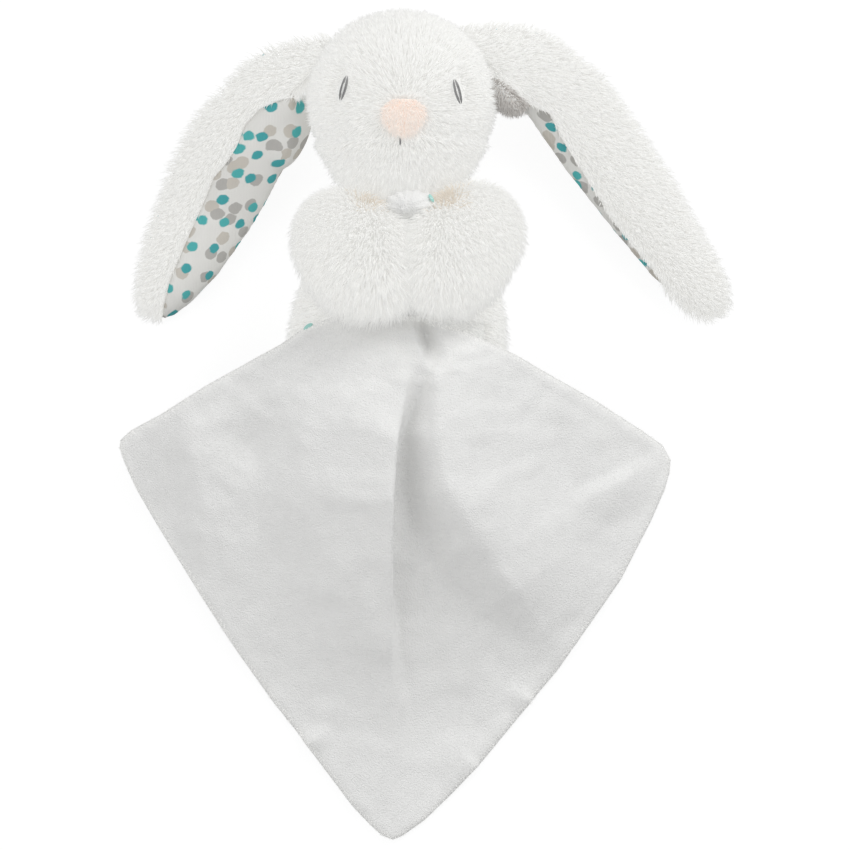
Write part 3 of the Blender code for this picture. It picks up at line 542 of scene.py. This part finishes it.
# The ears. Long lop ears: plush on the side that shows, printed jersey behind and rolled up along the inner edge,
# bagged out and sewn into the head's side seam. The pile is combed towards the tip and over the outer edge.
EAR_PILE, FOLD_PILE = 0.0082, 0.0060
PRINT_DOT, PRINT_BLOB = 0.0122, 0.0088
PRINT_GROUND = (0.74, 0.735, 0.71)
EAR_LEVEL, EAR_ROLL, LINING_THICKNESS, LINING_LIFT = 0.045, 0.35, 0.0010, 0.0007
ROOT_REACH, ROOT_PUSH = 0.016, 0.007


def dotted_print():
    """A plain generic print: round teal dots over grey and sand blots on white jersey, at the blots' own scale."""
    group = bpy.data.node_groups.new("dotted_print", "ShaderNodeTree")
    group.interface.new_socket("Place", in_out="INPUT", socket_type="NodeSocketVector")
    group.interface.new_socket("Color", in_out="OUTPUT", socket_type="NodeSocketColor")
    nodes, links = group.nodes, group.links
    entry, leave = nodes.new("NodeGroupInput"), nodes.new("NodeGroupOutput")
    wobble = add_node(nodes, "TexNoise", Scale=260.0)
    shift = nodes.new("ShaderNodeVectorMath")
    shift.operation = "SCALE"
    shift.inputs["Scale"].default_value = 0.0022
    moved = nodes.new("ShaderNodeVectorMath")
    links.new(entry.outputs["Place"], wobble.inputs["Vector"])
    links.new(wobble.outputs["Color"], shift.inputs[0])
    links.new(entry.outputs["Place"], moved.inputs[0])
    links.new(shift.outputs["Vector"], moved.inputs[1])

    def spots(size, share, randomness, colours):
        cells = add_node(nodes, "TexVoronoi", Scale=1 / size, Randomness=randomness)
        cells.voronoi_dimensions = "2D"
        links.new(moved.outputs[0], cells.inputs["Vector"])
        edge = add_node(nodes, "MapRange", From_Min=share, From_Max=share - 0.05)
        links.new(cells.outputs["Distance"], edge.inputs["Value"])
        pick = nodes.new("ShaderNodeValToRGB")
        pick.color_ramp.interpolation = "CONSTANT"
        while len(pick.color_ramp.elements) < len(colours):
            pick.color_ramp.elements.new(1.0)
        for order, (element, colour) in enumerate(zip(pick.color_ramp.elements, colours)):
            element.position = order / len(colours)
            element.color = (*colour, 1.0)
        split = nodes.new("ShaderNodeSeparateColor")
        links.new(cells.outputs["Color"], split.inputs[0])
        links.new(split.outputs[0], pick.inputs["Fac"])
        return edge.outputs["Result"], pick.outputs["Color"]

    below = None
    for mask, colour in (
        spots(PRINT_BLOB, 0.40, 1.0, ((0.56, 0.53, 0.48), (0.45, 0.44, 0.42), PRINT_GROUND)),
        spots(PRINT_DOT, 0.24, 0.75, ((0.07, 0.36, 0.38), (0.09, 0.42, 0.42))),
    ):
        mix = nodes.new("ShaderNodeMix")
        mix.data_type = "RGBA"
        mix.inputs["A"].default_value = (*PRINT_GROUND, 1.0)
        if below:
            links.new(below, mix.inputs["A"])
        links.new(mask, mix.inputs["Factor"])
        links.new(colour, mix.inputs["B"])
        below = mix.outputs["Result"]
    links.new(below, leave.inputs["Color"])
    return group


def jersey_material(name, group):
    """Fine printed jersey: the print, laid by the cloth's own map, under rows of tiny knit loops."""
    material, nodes, links, shader = new_material(name)
    place = nodes.new("ShaderNodeTexCoord")
    flat = nodes.new("ShaderNodeUVMap")
    flat.uv_map = "cloth_map"
    dots = nodes.new("ShaderNodeGroup")
    dots.node_tree = group
    loops = add_node(nodes, "TexWave", Scale=420.0, Distortion=1.5)
    links.new(flat.outputs["UV"], dots.inputs["Place"])
    links.new(place.outputs["Object"], loops.inputs["Vector"])
    links.new(dots.outputs["Color"], shader.inputs["Base Color"])
    add_bump(nodes, links, shader, loops.outputs["Fac"], Strength=0.35, Distance=0.0003)
    set_inputs(shader, Roughness=0.9, Specular_IOR_Level=0.15)
    return material


def lay_print(piece, places):
    """Keeps where every point of a cloth lies on its print, in metres, so that the print moves with the cloth."""
    corners = np.empty(len(piece.data.loops), dtype=np.int32)
    piece.data.loops.foreach_get("vertex_index", corners)
    layer = piece.data.uv_layers.new(name="cloth_map")
    layer.uv.foreach_set("vector", places[corners].ravel())


def way_along(points, line):
    """Direction of the nearby part of a line, for every point, turning smoothly from one part to the next."""
    line = np.array(line)
    middles, ways = (line[1:] + line[:-1]) / 2, unit(line[1:] - line[:-1])
    gaps = np.linalg.norm(points[:, None, :2] - middles, axis=2)
    shares = np.exp(-((gaps / 0.014) ** 2)) + 1e-9
    return unit((shares[:, :, None] * ways).sum(axis=1))


def beside(points, line):
    """How far every point lies beside a line, seen from above: more than 0 on the line's left, less on its right."""
    best, signed = np.full(len(points), 9.0), np.zeros(len(points))
    for a, b in zip(line, line[1:]):
        a, way = np.array(a), np.array(b) - np.array(a)
        gap = points[:, :2] - a
        gap = gap - np.clip((gap @ way) / (way @ way), 0, 1)[:, None] * way
        away = np.linalg.norm(gap, axis=1)
        side = np.sign(way[0] * gap[:, 1] - way[1] * gap[:, 0])
        signed = np.where(away < best, away * side, signed)
        best = np.minimum(best, away)
    return signed


printed_jersey = jersey_material("printed_jersey", dotted_print())
EARS = (
    # name, the side of the fur's edge that the lining is on, seed, middle line from root to tip, the fur's edge
    (
        "left_ear", 1, 41,
        ((-0.0564, 0.1794), (-0.0753, 0.1660), (-0.0930, 0.1390), (-0.1090, 0.1082), (-0.1211, 0.0850),
         (-0.1380, 0.0553)),
        ((0.0000, 0.1680), (-0.0589, 0.1630), (-0.0709, 0.1615), (-0.0824, 0.1570), (-0.0899, 0.1490),
         (-0.0944, 0.1380), (-0.0994, 0.1305), (-0.1059, 0.1230), (-0.1099, 0.1130), (-0.1164, 0.0990),
         (-0.1224, 0.0855), (-0.1274, 0.0740), (-0.1304, 0.0630), (-0.1334, 0.0480)),
    ),
    (
        "right_ear", -1, 42,
        ((0.0274, 0.1855), (0.0518, 0.1770), (0.0706, 0.1598), (0.0855, 0.1391), (0.1077, 0.1083), (0.1236, 0.0851),
         (0.1444, 0.0530)),
        ((-0.0200, 0.2260), (0.0380, 0.1680), (0.0466, 0.1610), (0.0606, 0.1550), (0.0676, 0.1415), (0.0756, 0.1290),
         (0.0826, 0.1180), (0.0926, 0.1020), (0.1091, 0.0820), (0.1300, 0.0560)),
    ),
)
# each ear's root folds in against the head: a tuck of cloth that stays in the shade. On the right ear the tuck is
# plush with a grey-brown pile, a painted shade.
ROOT_FOLDS = {
    "left_ear": (
        Matrix.Translation((-0.0670, 0.1465, 0.0260)) @ Matrix.Rotation(radians(-20), 4, "Z")
        @ Matrix.Diagonal((0.0090, 0.0205, 0.0090, 1.0))
    ),
    "right_ear": (
        Matrix.Translation((0.0375, 0.1665, 0.0330)) @ Matrix.Rotation(radians(-50), 4, "Z")
        @ Matrix.Diagonal((0.0140, 0.0075, 0.0100, 1.0))
    ),
}


def in_root_fold(points):
    """Which points lie on the tuck at the right ear's root, the one that is plush."""
    back = np.array(ROOT_FOLDS["right_ear"].inverted())
    return np.linalg.norm(points @ back[:3, :3].T + back[:3, 3], axis=1) < 1.12


def lining_share(points, leans, fur_edge, inner_sign):
    """How far every point of an ear lies on the lining's side of the seam: more than 0 is lining, less is fur."""
    return np.maximum(beside(points, fur_edge) * inner_sign, (-EAR_ROLL - leans[:, 2]) * 0.02)


# grey-brown pile with little glow for the tuck at the right ear's root: a painted shade on what is white plush
painted_shade_pile = fibre_material("painted_shade_pile", (0.48, 0.44, 0.40), (0.68, 0.65, 0.62), (0.9, 1.0), 0.10)
for name, inner_sign, seed, middle_line, fur_edge in EARS:
    fold = name == "right_ear"
    form = backing_form([name + "_fur", name + "_lining"], 4, 0.0, 0.0015, ROOT_FOLDS[name])
    places = np.array([vert.co[:] for vert in form.verts])
    leans = np.array([vert.normal[:] for vert in form.verts])
    inner = lining_share(places, leans, fur_edge, inner_sign)
    inset = 0.0024 - 0.0019 * np.clip(inner / 0.002 + 0.5, 0, 1)
    if fold:
        inner[in_root_fold(places) & (inner > 0)] = -1.0
    root = np.array([*middle_line[0], EAR_LEVEL])
    out = np.array([*way_along(root[None], middle_line)[0], 0.0])
    to_root = np.clip(1 - ((places - root) @ out) / ROOT_REACH, 0, 1)
    to_head = unit((np.array(HEAD_MIDDLE) - root)[None] * np.array([1.0, 1.0, 0.0]))[0]
    for vert, lean, depth, near in zip(form.verts, leans, inset, to_root):
        vert.co += Vector(to_head * ROOT_PUSH * near - lean * depth)
    form.normal_update()
    form.verts.index_update()
    cloth = form.copy()
    away = [face for face in cloth.faces if inner[[vert.index for vert in face.verts]].mean() < -0.0004]
    bmesh.ops.delete(cloth, geom=away, context="FACES")
    places = np.array([vert.co[:] for vert in cloth.verts])
    leans = np.array([vert.normal[:] for vert in cloth.verts])
    inner = lining_share(places, leans, fur_edge, inner_sign)
    for vert, lift in zip(cloth.verts, LINING_LIFT * np.clip(inner / 0.0012, -1, 1)):
        vert.co += vert.normal * lift
    cloth.normal_update()
    under = [(vert, vert.co - vert.normal * LINING_THICKNESS) for vert in cloth.verts]
    bmesh.ops.extrude_face_region(cloth, geom=cloth.faces[:], use_keep_orig=True)
    for vert, place in under:
        vert.co = place
    bmesh.ops.recalc_face_normals(cloth, faces=cloth.faces)
    places = np.array([vert.co[:] for vert in cloth.verts])
    along = way_along(places, middle_line)
    inwards = np.stack([-along[:, 1], along[:, 0]], axis=1) * inner_sign
    lining = add_mesh(name + "_lining_cloth", cloth, printed_jersey)
    lay_print(lining, places[:, :2] + inwards * 0.9 * (EAR_LEVEL - places[:, 2:]))
    spots, normals = spread_spots(form, PILE_SPACING, seed)
    backing = add_mesh(name + "_backing", form, plush_ground)
    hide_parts(name + "_fur")
    clear = -lining_share(spots, normals, fur_edge, inner_sign)
    if fold:
        # the tuck's pile takes the painted shade
        chosen = in_root_fold(spots) & (clear < 0.0) & (normals[:, 2] > -0.5)
        comb = np.tile((0.2, -1.0, 0.1), (chosen.sum(), 1))
        lengths = np.full(chosen.sum(), FOLD_PILE)
        shaded = plant_fibres(
            name + "_fold_pile", spots[chosen], normals[chosen], comb, lengths, painted_shade_pile, seed + 20
        )
    chosen = clear > 0.0
    spots, normals, clear = spots[chosen], normals[chosen], clear[chosen]
    along = way_along(spots, middle_line)
    outwards = np.stack([-along[:, 1], along[:, 0]], axis=1) * -inner_sign
    spread = 0.30 if name == "left_ear" else 0.60
    flow = along + outwards * (spread - (spread + 0.5) * np.clip(1 - clear / 0.006, 0, 1))[:, None]
    comb = np.column_stack([flow, np.zeros(len(spots))])
    lengths = EAR_PILE * np.clip(0.70 + clear / 0.012, 0.7, 1.0)
    pile = plant_fibres(name + "_pile", spots, normals, comb, lengths, white_pile, seed + 10, clump=0.3, lean=0.8)
    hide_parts(name + "_lining")
    for piece in (backing, pile, lining, shaded) if fold else (backing, pile, lining):
        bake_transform(piece)


# The body. A stuffed pear of white long-pile plush, closed at the neck by a drawn thread. It lies under the blanket
# and the arms and shows only at its lower sides, where its pile hangs towards the floor.
BODY_PILE, COVERED_PILE, BODY_SPACING = 0.0095, 0.0018, 0.00098
HEAD_HOLLOW = np.array([0.047, 0.044, 0.037])
BODY_MIDDLE = Vector((-0.0126, 0.0455, 0.0230))

body_form = backing_form(["body_stuffing"], 6, 0.0016)
spots, normals = spread_spots(body_form, BODY_SPACING, 51)
body_backing = add_mesh("body_backing", body_form, plush_ground)
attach(body_backing, "torso")
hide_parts("body_front_panel", "body_back_panel", "body_stuffing")
away = unit(spots - np.array(BODY_MIDDLE)) * np.array([1.0, 0.4, 0.0]) + np.array([0.0, -0.8, -0.35])
in_head = np.linalg.norm((spots - np.array(HEAD_MIDDLE)) / HEAD_HOLLOW, axis=1) < 1.0
from_middle = np.abs(spots[:, 0] - BODY_MIDDLE.x)
under_cloth = (from_middle < np.where(spots[:, 1] < 0.052, 0.040, 0.028)) & (spots[:, 2] > 0.030)
lengths = np.where(under_cloth, COVERED_PILE, BODY_PILE)
lengths = np.minimum(lengths, 0.0012 + spots[:, 2] * 1.2)
for name, front in (("body_front_pile", True), ("body_back_pile", False)):
    chosen = ((spots[:, 2] > BODY_MIDDLE.z) == front) & ~in_head
    pile = plant_fibres(name, spots[chosen], normals[chosen], away[chosen], lengths[chosen], white_pile, 52)
    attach(pile, "torso")

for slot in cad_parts["neck_thread"].material_slots:
    slot.material = white_thread


# The arms. Plush sleeves folded over the chest until their paws meet, lightly stuffed, with the longest pile of the
# toy combed down over the paws. The paws are tacked to the blanket's corner between them.
ARM_PILE = 0.0105
PAWS_MEET = -0.0086
TACK_STITCHES, TACK_DEPTH = 3, 0.006

# beige pile at the arms' tops under the chin: a painted shade where the white plush lies in the chin's shadow
painted_chin_shade_pile = fibre_material("painted_chin_shade_pile", (0.52, 0.46, 0.40), (0.60, 0.555, 0.50), (0.95, 1.0), 0.33)

for name, seed in (("left_arm", 61), ("right_arm", 62)):
    arm_form = backing_form([name + "_stuffing"], 5, 0.0010)
    spots, normals = spread_spots(arm_form, PILE_SPACING, seed)
    backing = add_mesh(name + "_backing", arm_form, plush_ground)
    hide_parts(name + "_sleeve", name + "_stuffing")
    from_crease = spots[:, 0] - PAWS_MEET
    to_crease = np.clip(1 - np.abs(from_crease) / 0.018, 0, 1)
    across = 0.5 * np.clip(from_crease / 0.05, -1, 1) - 0.9 * np.sign(from_crease) * to_crease
    comb = np.stack([across, np.full(len(spots), -1.0), np.full(len(spots), 0.1)], axis=1)
    under = np.clip((spots[:, 2] - 0.030) / 0.020, 0.25, 1.0)
    hang = 1 + 0.75 * np.clip((0.082 - spots[:, 1]) / 0.018, 0, 1) * np.clip((spots[:, 2] - 0.040) / 0.010, 0, 1)
    lengths = ARM_PILE * under * hang
    # near the crease under the chin a share of the fibres take the painted shade instead of the white pile
    chin_shade_share = np.clip((spots[:, 1] - 0.1040) / 0.0060, 0, 1) * np.clip((0.030 - np.abs(from_crease)) / 0.010, 0, 1)
    under_chin_shade = (np.random.default_rng(seed).random(len(spots)) < chin_shade_share) & (spots[:, 2] > 0.035)
    pile = plant_fibres(
        name + "_pile", spots[~under_chin_shade], normals[~under_chin_shade], comb[~under_chin_shade], lengths[~under_chin_shade], white_pile, seed + 10,
        clump=0.4,
    )
    chin_shade_fibres = plant_fibres(
        name + "_parting", spots[under_chin_shade], normals[under_chin_shade], comb[under_chin_shade], lengths[under_chin_shade] * 0.8, painted_chin_shade_pile, seed + 20
    )
    for piece in (backing, pile, chin_shade_fibres):
        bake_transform(piece)

bm = bmesh.new()
tack = np.array([corner.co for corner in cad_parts["paw_tack"].data.vertices])
tack_low, tack_high = tack.min(axis=0), tack.max(axis=0)
for step in range(TACK_STITCHES):
    y = tack_low[1] + (tack_high[1] - tack_low[1]) * (step + 0.5) / TACK_STITCHES
    ends = np.linspace(tack_low[0], tack_high[0], 5)
    lay_thread(bm, [Vector((x, y, tack_low[2] - TACK_DEPTH)) for x in ends], THREAD_RADIUS)
tack_threads = add_mesh("paw_tack_threads", bm, white_thread)
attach(tack_threads, "arms")
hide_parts("paw_tack")


# The blanket. A square of white velour and a square of printed jersey, joined round the edge and turned, hanging by
# one corner from the paws. Folds fan out from the hold: a crest with a steep side, then slacker ones beside it.
CLOTH_FLAT = 0.235
CLOTH_STEPS = 150
CLOTH_MIDDLE = np.array((-0.0150, -0.0500, 0.0))
VELOUR_THICKNESS, JERSEY_THICKNESS = 0.00098, 0.00072
CLOTH_LIFT, JERSEY_SINK, JERSEY_TRIM = 0.0012, 0.0016, 0.0004
VELOUR_RISE, VELOUR_ROUNDING = 0.0014, 0.0022
SEAM_BAND, SEAM_RISE = 0.0085, 0.0005
EDGE_NAP, NAP_BAND, NAP_SPACING = 0.0017, 0.0026, 0.00075
DRAPE_MIDDLE, DRAPE_REACH, DRAPE_HEIGHT = np.array((-0.0156, 0.0456)), np.array((0.155, 0.2021)), 0.0466
LEFT_TOP_EDGE = (
    (-0.0236, 0.0545), (-0.0450, 0.0543), (-0.0610, 0.0480), (-0.0720, 0.0403), (-0.0819, 0.0350),
    (-0.1084, 0.0205), (-0.1324, 0.0055), (-0.1469, -0.0020), (-0.1524, -0.0070), (-0.1529, -0.0110),
)
LEFT_LOW_EDGE = (
    (-0.1529, -0.0110), (-0.1504, -0.0185), (-0.1444, -0.0320), (-0.1359, -0.0470), (-0.1174, -0.0770),
    (-0.0984, -0.1070), (-0.0774, -0.1370), (-0.0654, -0.1520), (-0.0599, -0.1595), (-0.0374, -0.1895),
    (-0.0294, -0.1980), (-0.0224, -0.2045), (-0.0170, -0.2065),
)
RIGHT_LOW_EDGE = (
    (-0.0170, -0.2065), (-0.0119, -0.2045), (-0.0014, -0.1970), (0.0141, -0.1820), (0.0281, -0.1670),
    (0.0526, -0.1370), (0.0651, -0.1220), (0.0861, -0.0920), (0.0966, -0.0770), (0.1121, -0.0470), (0.1186, -0.0320),
    (0.1211, -0.0230), (0.1216, -0.0170),
)
RIGHT_TOP_EDGE = (
    (0.1216, -0.0170), (0.1176, -0.0095), (0.1066, -0.0020), (0.0831, 0.0130), (0.0561, 0.0280), (0.0441, 0.0350),
    (0.0201, 0.0460), (-0.0026, 0.0535), (-0.0236, 0.0545),
)
FOLDS = (
    # crest, height along it, reach to its left, reach to its right
    (((-0.0060, 0.0535), (-0.0118, 0.0180), (-0.0205, -0.0070), (-0.0235, -0.0370), (-0.0225, -0.0820),
      (-0.0192, -0.1220), (-0.0172, -0.1765)), (0.001, 0.010, 0.017, 0.020, 0.015, 0.008, 0.001), (0.055,),
     (0.016, 0.010, 0.0065, 0.0065, 0.006, 0.009, 0.018)),
    (((-0.0016, 0.0535), (0.0060, 0.0250), (0.0060, -0.0050), (0.0120, -0.0310), (0.0260, -0.0540),
      (0.0450, -0.0800), (0.0620, -0.1040)), (0.001, 0.012, 0.016, 0.018, 0.019, 0.016, 0.003),
     (0.012, 0.013, 0.020, 0.027, 0.030, 0.026, 0.018), (0.058,)),
    (((-0.0035, 0.0535), (0.0002, 0.0400), (0.0040, 0.0265)), (-0.010, -0.009, 0.000), (0.004,), (0.009,)),
    (((-0.0110, -0.0050), (-0.0095, -0.0370), (-0.0040, -0.0620)), (0.000, -0.004, 0.000), (0.010,), (0.020,)),
    (((0.1191, -0.0170), (0.0966, -0.0283), (0.0666, -0.0420)), (0.001, 0.0040, 0.000), (0.009,), (0.020,)),
    (((-0.1170, 0.0100), (-0.1140, -0.0145), (-0.1110, -0.0395), (-0.1110, -0.0620), (-0.1009, -0.0920)),
     (0.002, 0.0065, 0.0075, 0.005, 0.001), (0.016,), (0.030,)),
    (((0.0526, -0.1370), (0.0400, -0.1290)), (0.0050, 0.000), (0.003,), (0.012,)),
    (((0.0250, -0.1700), (0.0150, -0.1610)), (0.0045, 0.000), (0.003,), (0.012,)),
    (((-0.0600, -0.1590), (-0.0480, -0.1500)), (0.0040, 0.000), (0.009,), (0.006,)),
    (((-0.0584, 0.0430), (-0.0634, 0.0055), (-0.0634, -0.0370), (-0.0559, -0.0720)), (0.001, 0.004, 0.004, 0.001),
     (0.024,), (0.024,)),
    (((-0.0929, 0.0280), (-0.1324, 0.0055), (-0.1490, -0.0060)), (0.000, 0.009, 0.008), (0.010,), (0.046,)),
    (((-0.1040, 0.0010), (-0.0884, -0.0100), (-0.0784, -0.0200)), (0.000, -0.004, 0.000), (0.012,), (0.018,)),
)
# the main fold's crest leans over to the right, by so much at each place
OVERHANG_LINE = ((-0.0118, 0.0180), (-0.0205, -0.0070), (-0.0235, -0.0370), (-0.0225, -0.0820), (-0.0192, -0.1220))
OVERHANG = (0.001, 0.006, 0.007, 0.005, 0.001)


def edge_line(places):
    """Evenly spaced places along one side of the blanket's outline."""
    places = np.array(places)
    marks = np.concatenate([[0.0], np.cumsum(np.linalg.norm(np.diff(places, axis=0), axis=1))])
    steps = np.linspace(0, marks[-1], CLOTH_STEPS + 1)
    return np.stack([np.interp(steps, marks, places[:, 0]), np.interp(steps, marks, places[:, 1])], axis=1)


def ridge(points, line, heights, lefts, rights):
    """Height that one fold adds: a crest along its line, with its own reach to the left and to the right of it."""
    lefts, rights = [np.resize(reaches, len(line)) for reaches in (lefts, rights)]
    best = np.full(len(points), 9.0)
    added = np.zeros(len(points))
    for step, (a, b) in enumerate(zip(line, line[1:])):
        a, way = np.array(a), np.array(b) - np.array(a)
        share = np.clip(((points - a) @ way) / (way @ way), 0, 1)
        gap = points - a - share[:, None] * way
        away = np.linalg.norm(gap, axis=1)
        turn = (way[0] * gap[:, 1] - way[1] * gap[:, 0]) / np.maximum(away * np.hypot(*way), 1e-9)
        ends = [(values[step], values[step + 1]) for values in (heights, lefts, rights)]
        high, left, right = [start + (stop - start) * share for start, stop in ends]
        reach = left + (right - left) * (0.5 + 0.5 * np.clip(1.6 * turn, -1, 1))
        rise = high * (1 - np.clip(away / reach, 0, 1) ** 1.7) ** 2
        added = np.where(away < best, rise, added)
        best = np.minimum(best, away)
    return added


def cloth_height(points):
    """Lower side of the draped cloth: over the body, then down to the floor, with its folds on top."""
    across, along = ((points - DRAPE_MIDDLE) / DRAPE_REACH).T
    height = 0.0012 + DRAPE_HEIGHT * np.clip(1 - across**2 - along**2, 0, 1) ** 1.5
    for fold in FOLDS:
        height = height + ridge(points, *fold)
    return np.maximum(height, 0.0010)


def cloth_layer(name, material, sink, thickness, trim):
    """One layer of the blanket: its outline, drawn in by the trim, is filled evenly and laid over the body. It is
    sunk by its depth below the face, and then given its thickness."""
    left, right = edge_line(LEFT_TOP_EDGE), edge_line(RIGHT_TOP_EDGE[::-1])
    left_low, right_low = edge_line(LEFT_LOW_EDGE), edge_line(RIGHT_LOW_EDGE[::-1])
    bm = bmesh.new()
    bmesh.ops.create_grid(bm, x_segments=CLOTH_STEPS, y_segments=CLOTH_STEPS, size=0.5)
    shares = np.array([vert.co[:2] for vert in bm.verts]) + 0.5
    columns, rows = np.rint(shares * CLOTH_STEPS).astype(int).T
    s, t = shares[:, :1], shares[:, 1:]
    corners = ((1 - s) * (1 - t), left[0]), (s * (1 - t), left[-1]), ((1 - s) * t, right[-1]), (s * t, left_low[-1])
    places = (1 - t) * left[columns] + t * right_low[columns] + (1 - s) * right[rows] + s * left_low[rows]
    places -= sum(share * corner for share, corner in corners)
    inside = np.minimum(np.minimum(s, 1 - s), np.minimum(t, 1 - t))[:, 0] * CLOTH_FLAT
    places += (CLOTH_MIDDLE[:2] - places) * (trim / 0.12) * np.clip(1 - inside / 0.006, 0, 1)[:, None]
    heights = cloth_height(places) + CLOTH_LIFT + VELOUR_RISE * np.sqrt(np.clip(inside / VELOUR_ROUNDING, 0.15, 1))
    heights += SEAM_RISE * np.clip(1 - ((inside - SEAM_BAND / 2) / (SEAM_BAND / 2)) ** 2, 0, 1)
    places[:, 0] += ridge(places, OVERHANG_LINE, OVERHANG, (0.030,), (0.006,))
    for vert, (x, y), z, (u, v) in zip(bm.verts, places, heights, shares):
        ripple = noise.noise(Vector((u, v, 0)) * 22) * 0.0007 + noise.noise(Vector((u, v, 3)) * 9) * 0.0020
        vert.co = (x, y, z + max(ripple, -0.0006) + 0.0006)
    bm.normal_update()
    for vert, place in [(vert, vert.co - vert.normal * sink) for vert in bm.verts]:
        vert.co = place
    bmesh.ops.solidify(bm, geom=bm.faces[:], thickness=thickness)
    bmesh.ops.recalc_face_normals(bm, faces=bm.faces)
    return add_mesh(name, bm, material)


def velour_material(name, colour):
    """Brushed velour: a short nap that lies in soft patches, with a fine grain."""
    material, nodes, links, shader = new_material(name)
    place = nodes.new("ShaderNodeTexCoord")
    nap = add_node(nodes, "TexNoise", Scale=110.0, Detail=9.0, Roughness=0.8)
    tint = two_tones(nodes, [part * 0.92 for part in colour], colour, 0.25, 0.75)
    pile = add_node(nodes, "TexNoise", Scale=1300.0, Detail=3.0)
    links.new(place.outputs["Object"], nap.inputs["Vector"])
    links.new(place.outputs["Object"], pile.inputs["Vector"])
    links.new(nap.outputs["Fac"], tint.inputs["Fac"])
    links.new(tint.outputs["Color"], shader.inputs["Base Color"])
    add_bump(nodes, links, shader, pile.outputs["Fac"], Strength=0.8, Distance=0.0009)
    set_inputs(shader, Roughness=0.9, Specular_IOR_Level=0.1, Sheen_Weight=0.25, Sheen_Roughness=0.5)
    return material


white_velour = velour_material("white_velour", (0.86, 0.86, 0.85))
front = cloth_layer("blanket_velour", white_velour, 0.0, VELOUR_THICKNESS, 0.0)
bm = bmesh.new()
bm.from_mesh(front.data)
spots, normals = spread_spots(bm, NAP_SPACING, 71)
bm.free()
outline = [*LEFT_TOP_EDGE, *LEFT_LOW_EDGE[1:], *RIGHT_LOW_EDGE[1:], *RIGHT_TOP_EDGE[1:]]
chosen = np.abs(beside(spots, outline)) < NAP_BAND
outwards = unit(spots[chosen] - CLOTH_MIDDLE)
edge_nap = plant_fibres(
    "blanket_edge_nap", spots[chosen], normals[chosen], outwards, np.full(chosen.sum(), EDGE_NAP), white_pile, 72,
    width=0.0003, clump=0.2, lean=0.5,
)
back = cloth_layer("blanket_jersey", printed_jersey, JERSEY_SINK, JERSEY_THICKNESS, JERSEY_TRIM)
lay_print(back, np.array([vert.co[:2] for vert in back.data.vertices]))
for piece, node, slot in (
    (front, "blanket_front_panel", "white_velour"), (back, "blanket_back_panel", "printed_jersey")
):
    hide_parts(node)
    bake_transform(piece)
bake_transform(edge_nap)


# The blanket's held corner. The same two cloths gathered between the paws and tacked there; the corner pokes out
# above them as a small tuft.
TUFT_FORM = Matrix.Translation((-0.0079, 0.1085, 0.0600)) @ Matrix.Diagonal((0.0130, 0.0072, 0.0080, 1.0))
GATHER_MIDDLE = Vector((-0.0100, 0.1060, 0.0560))
GATHER_DEPTH, GATHERS = 0.0004, 13

corner_form = backing_form(["blanket_held_corner"], 3, 0.0, 0.0010, TUFT_FORM)
for vert in corner_form.verts:
    reach = vert.co - GATHER_MIDDLE
    turn = np.arctan2(reach.y, reach.x)
    vert.co += vert.normal * (GATHER_DEPTH * sin(turn * GATHERS) * min(1.0, reach.length / 0.010))
held_corner = add_mesh("held_corner_velour", corner_form, white_velour)

# One teal dot of the jersey's print shows at the tuft, and one at the blanket's turned left edge.
teal_print, nodes, links, shader = new_material("teal_print")
set_inputs(shader, Base_Color=(0.36, 0.65, 0.60, 1.0), Roughness=0.9)
EDGE_DOT = (-0.0584, 0.0490)
edge_height = float(cloth_height(np.array([EDGE_DOT]))[0]) + 0.0036
for name, place, turn, size in (
    ("tuft_jersey", (0.0022, 0.1115, 0.0650), -60, (0.0022, 0.0009, 0.0006)),
    ("edge_jersey", (*EDGE_DOT, edge_height), 35, (0.0026, 0.0011, 0.0005)),
):
    spot = Matrix.Translation(place) @ Matrix.Rotation(radians(turn), 4, "Z") @ Matrix.Diagonal((*size, 1.0))
    bm = bmesh.new()
    bmesh.ops.create_icosphere(bm, subdivisions=3, radius=1.0, matrix=spot)
    dot = add_mesh(name, bm, teal_print)
    if name == "tuft_jersey":
        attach(dot, "arms")
    else:
        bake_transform(dot)
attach(held_corner, "arms")
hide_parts("blanket_held_corner")
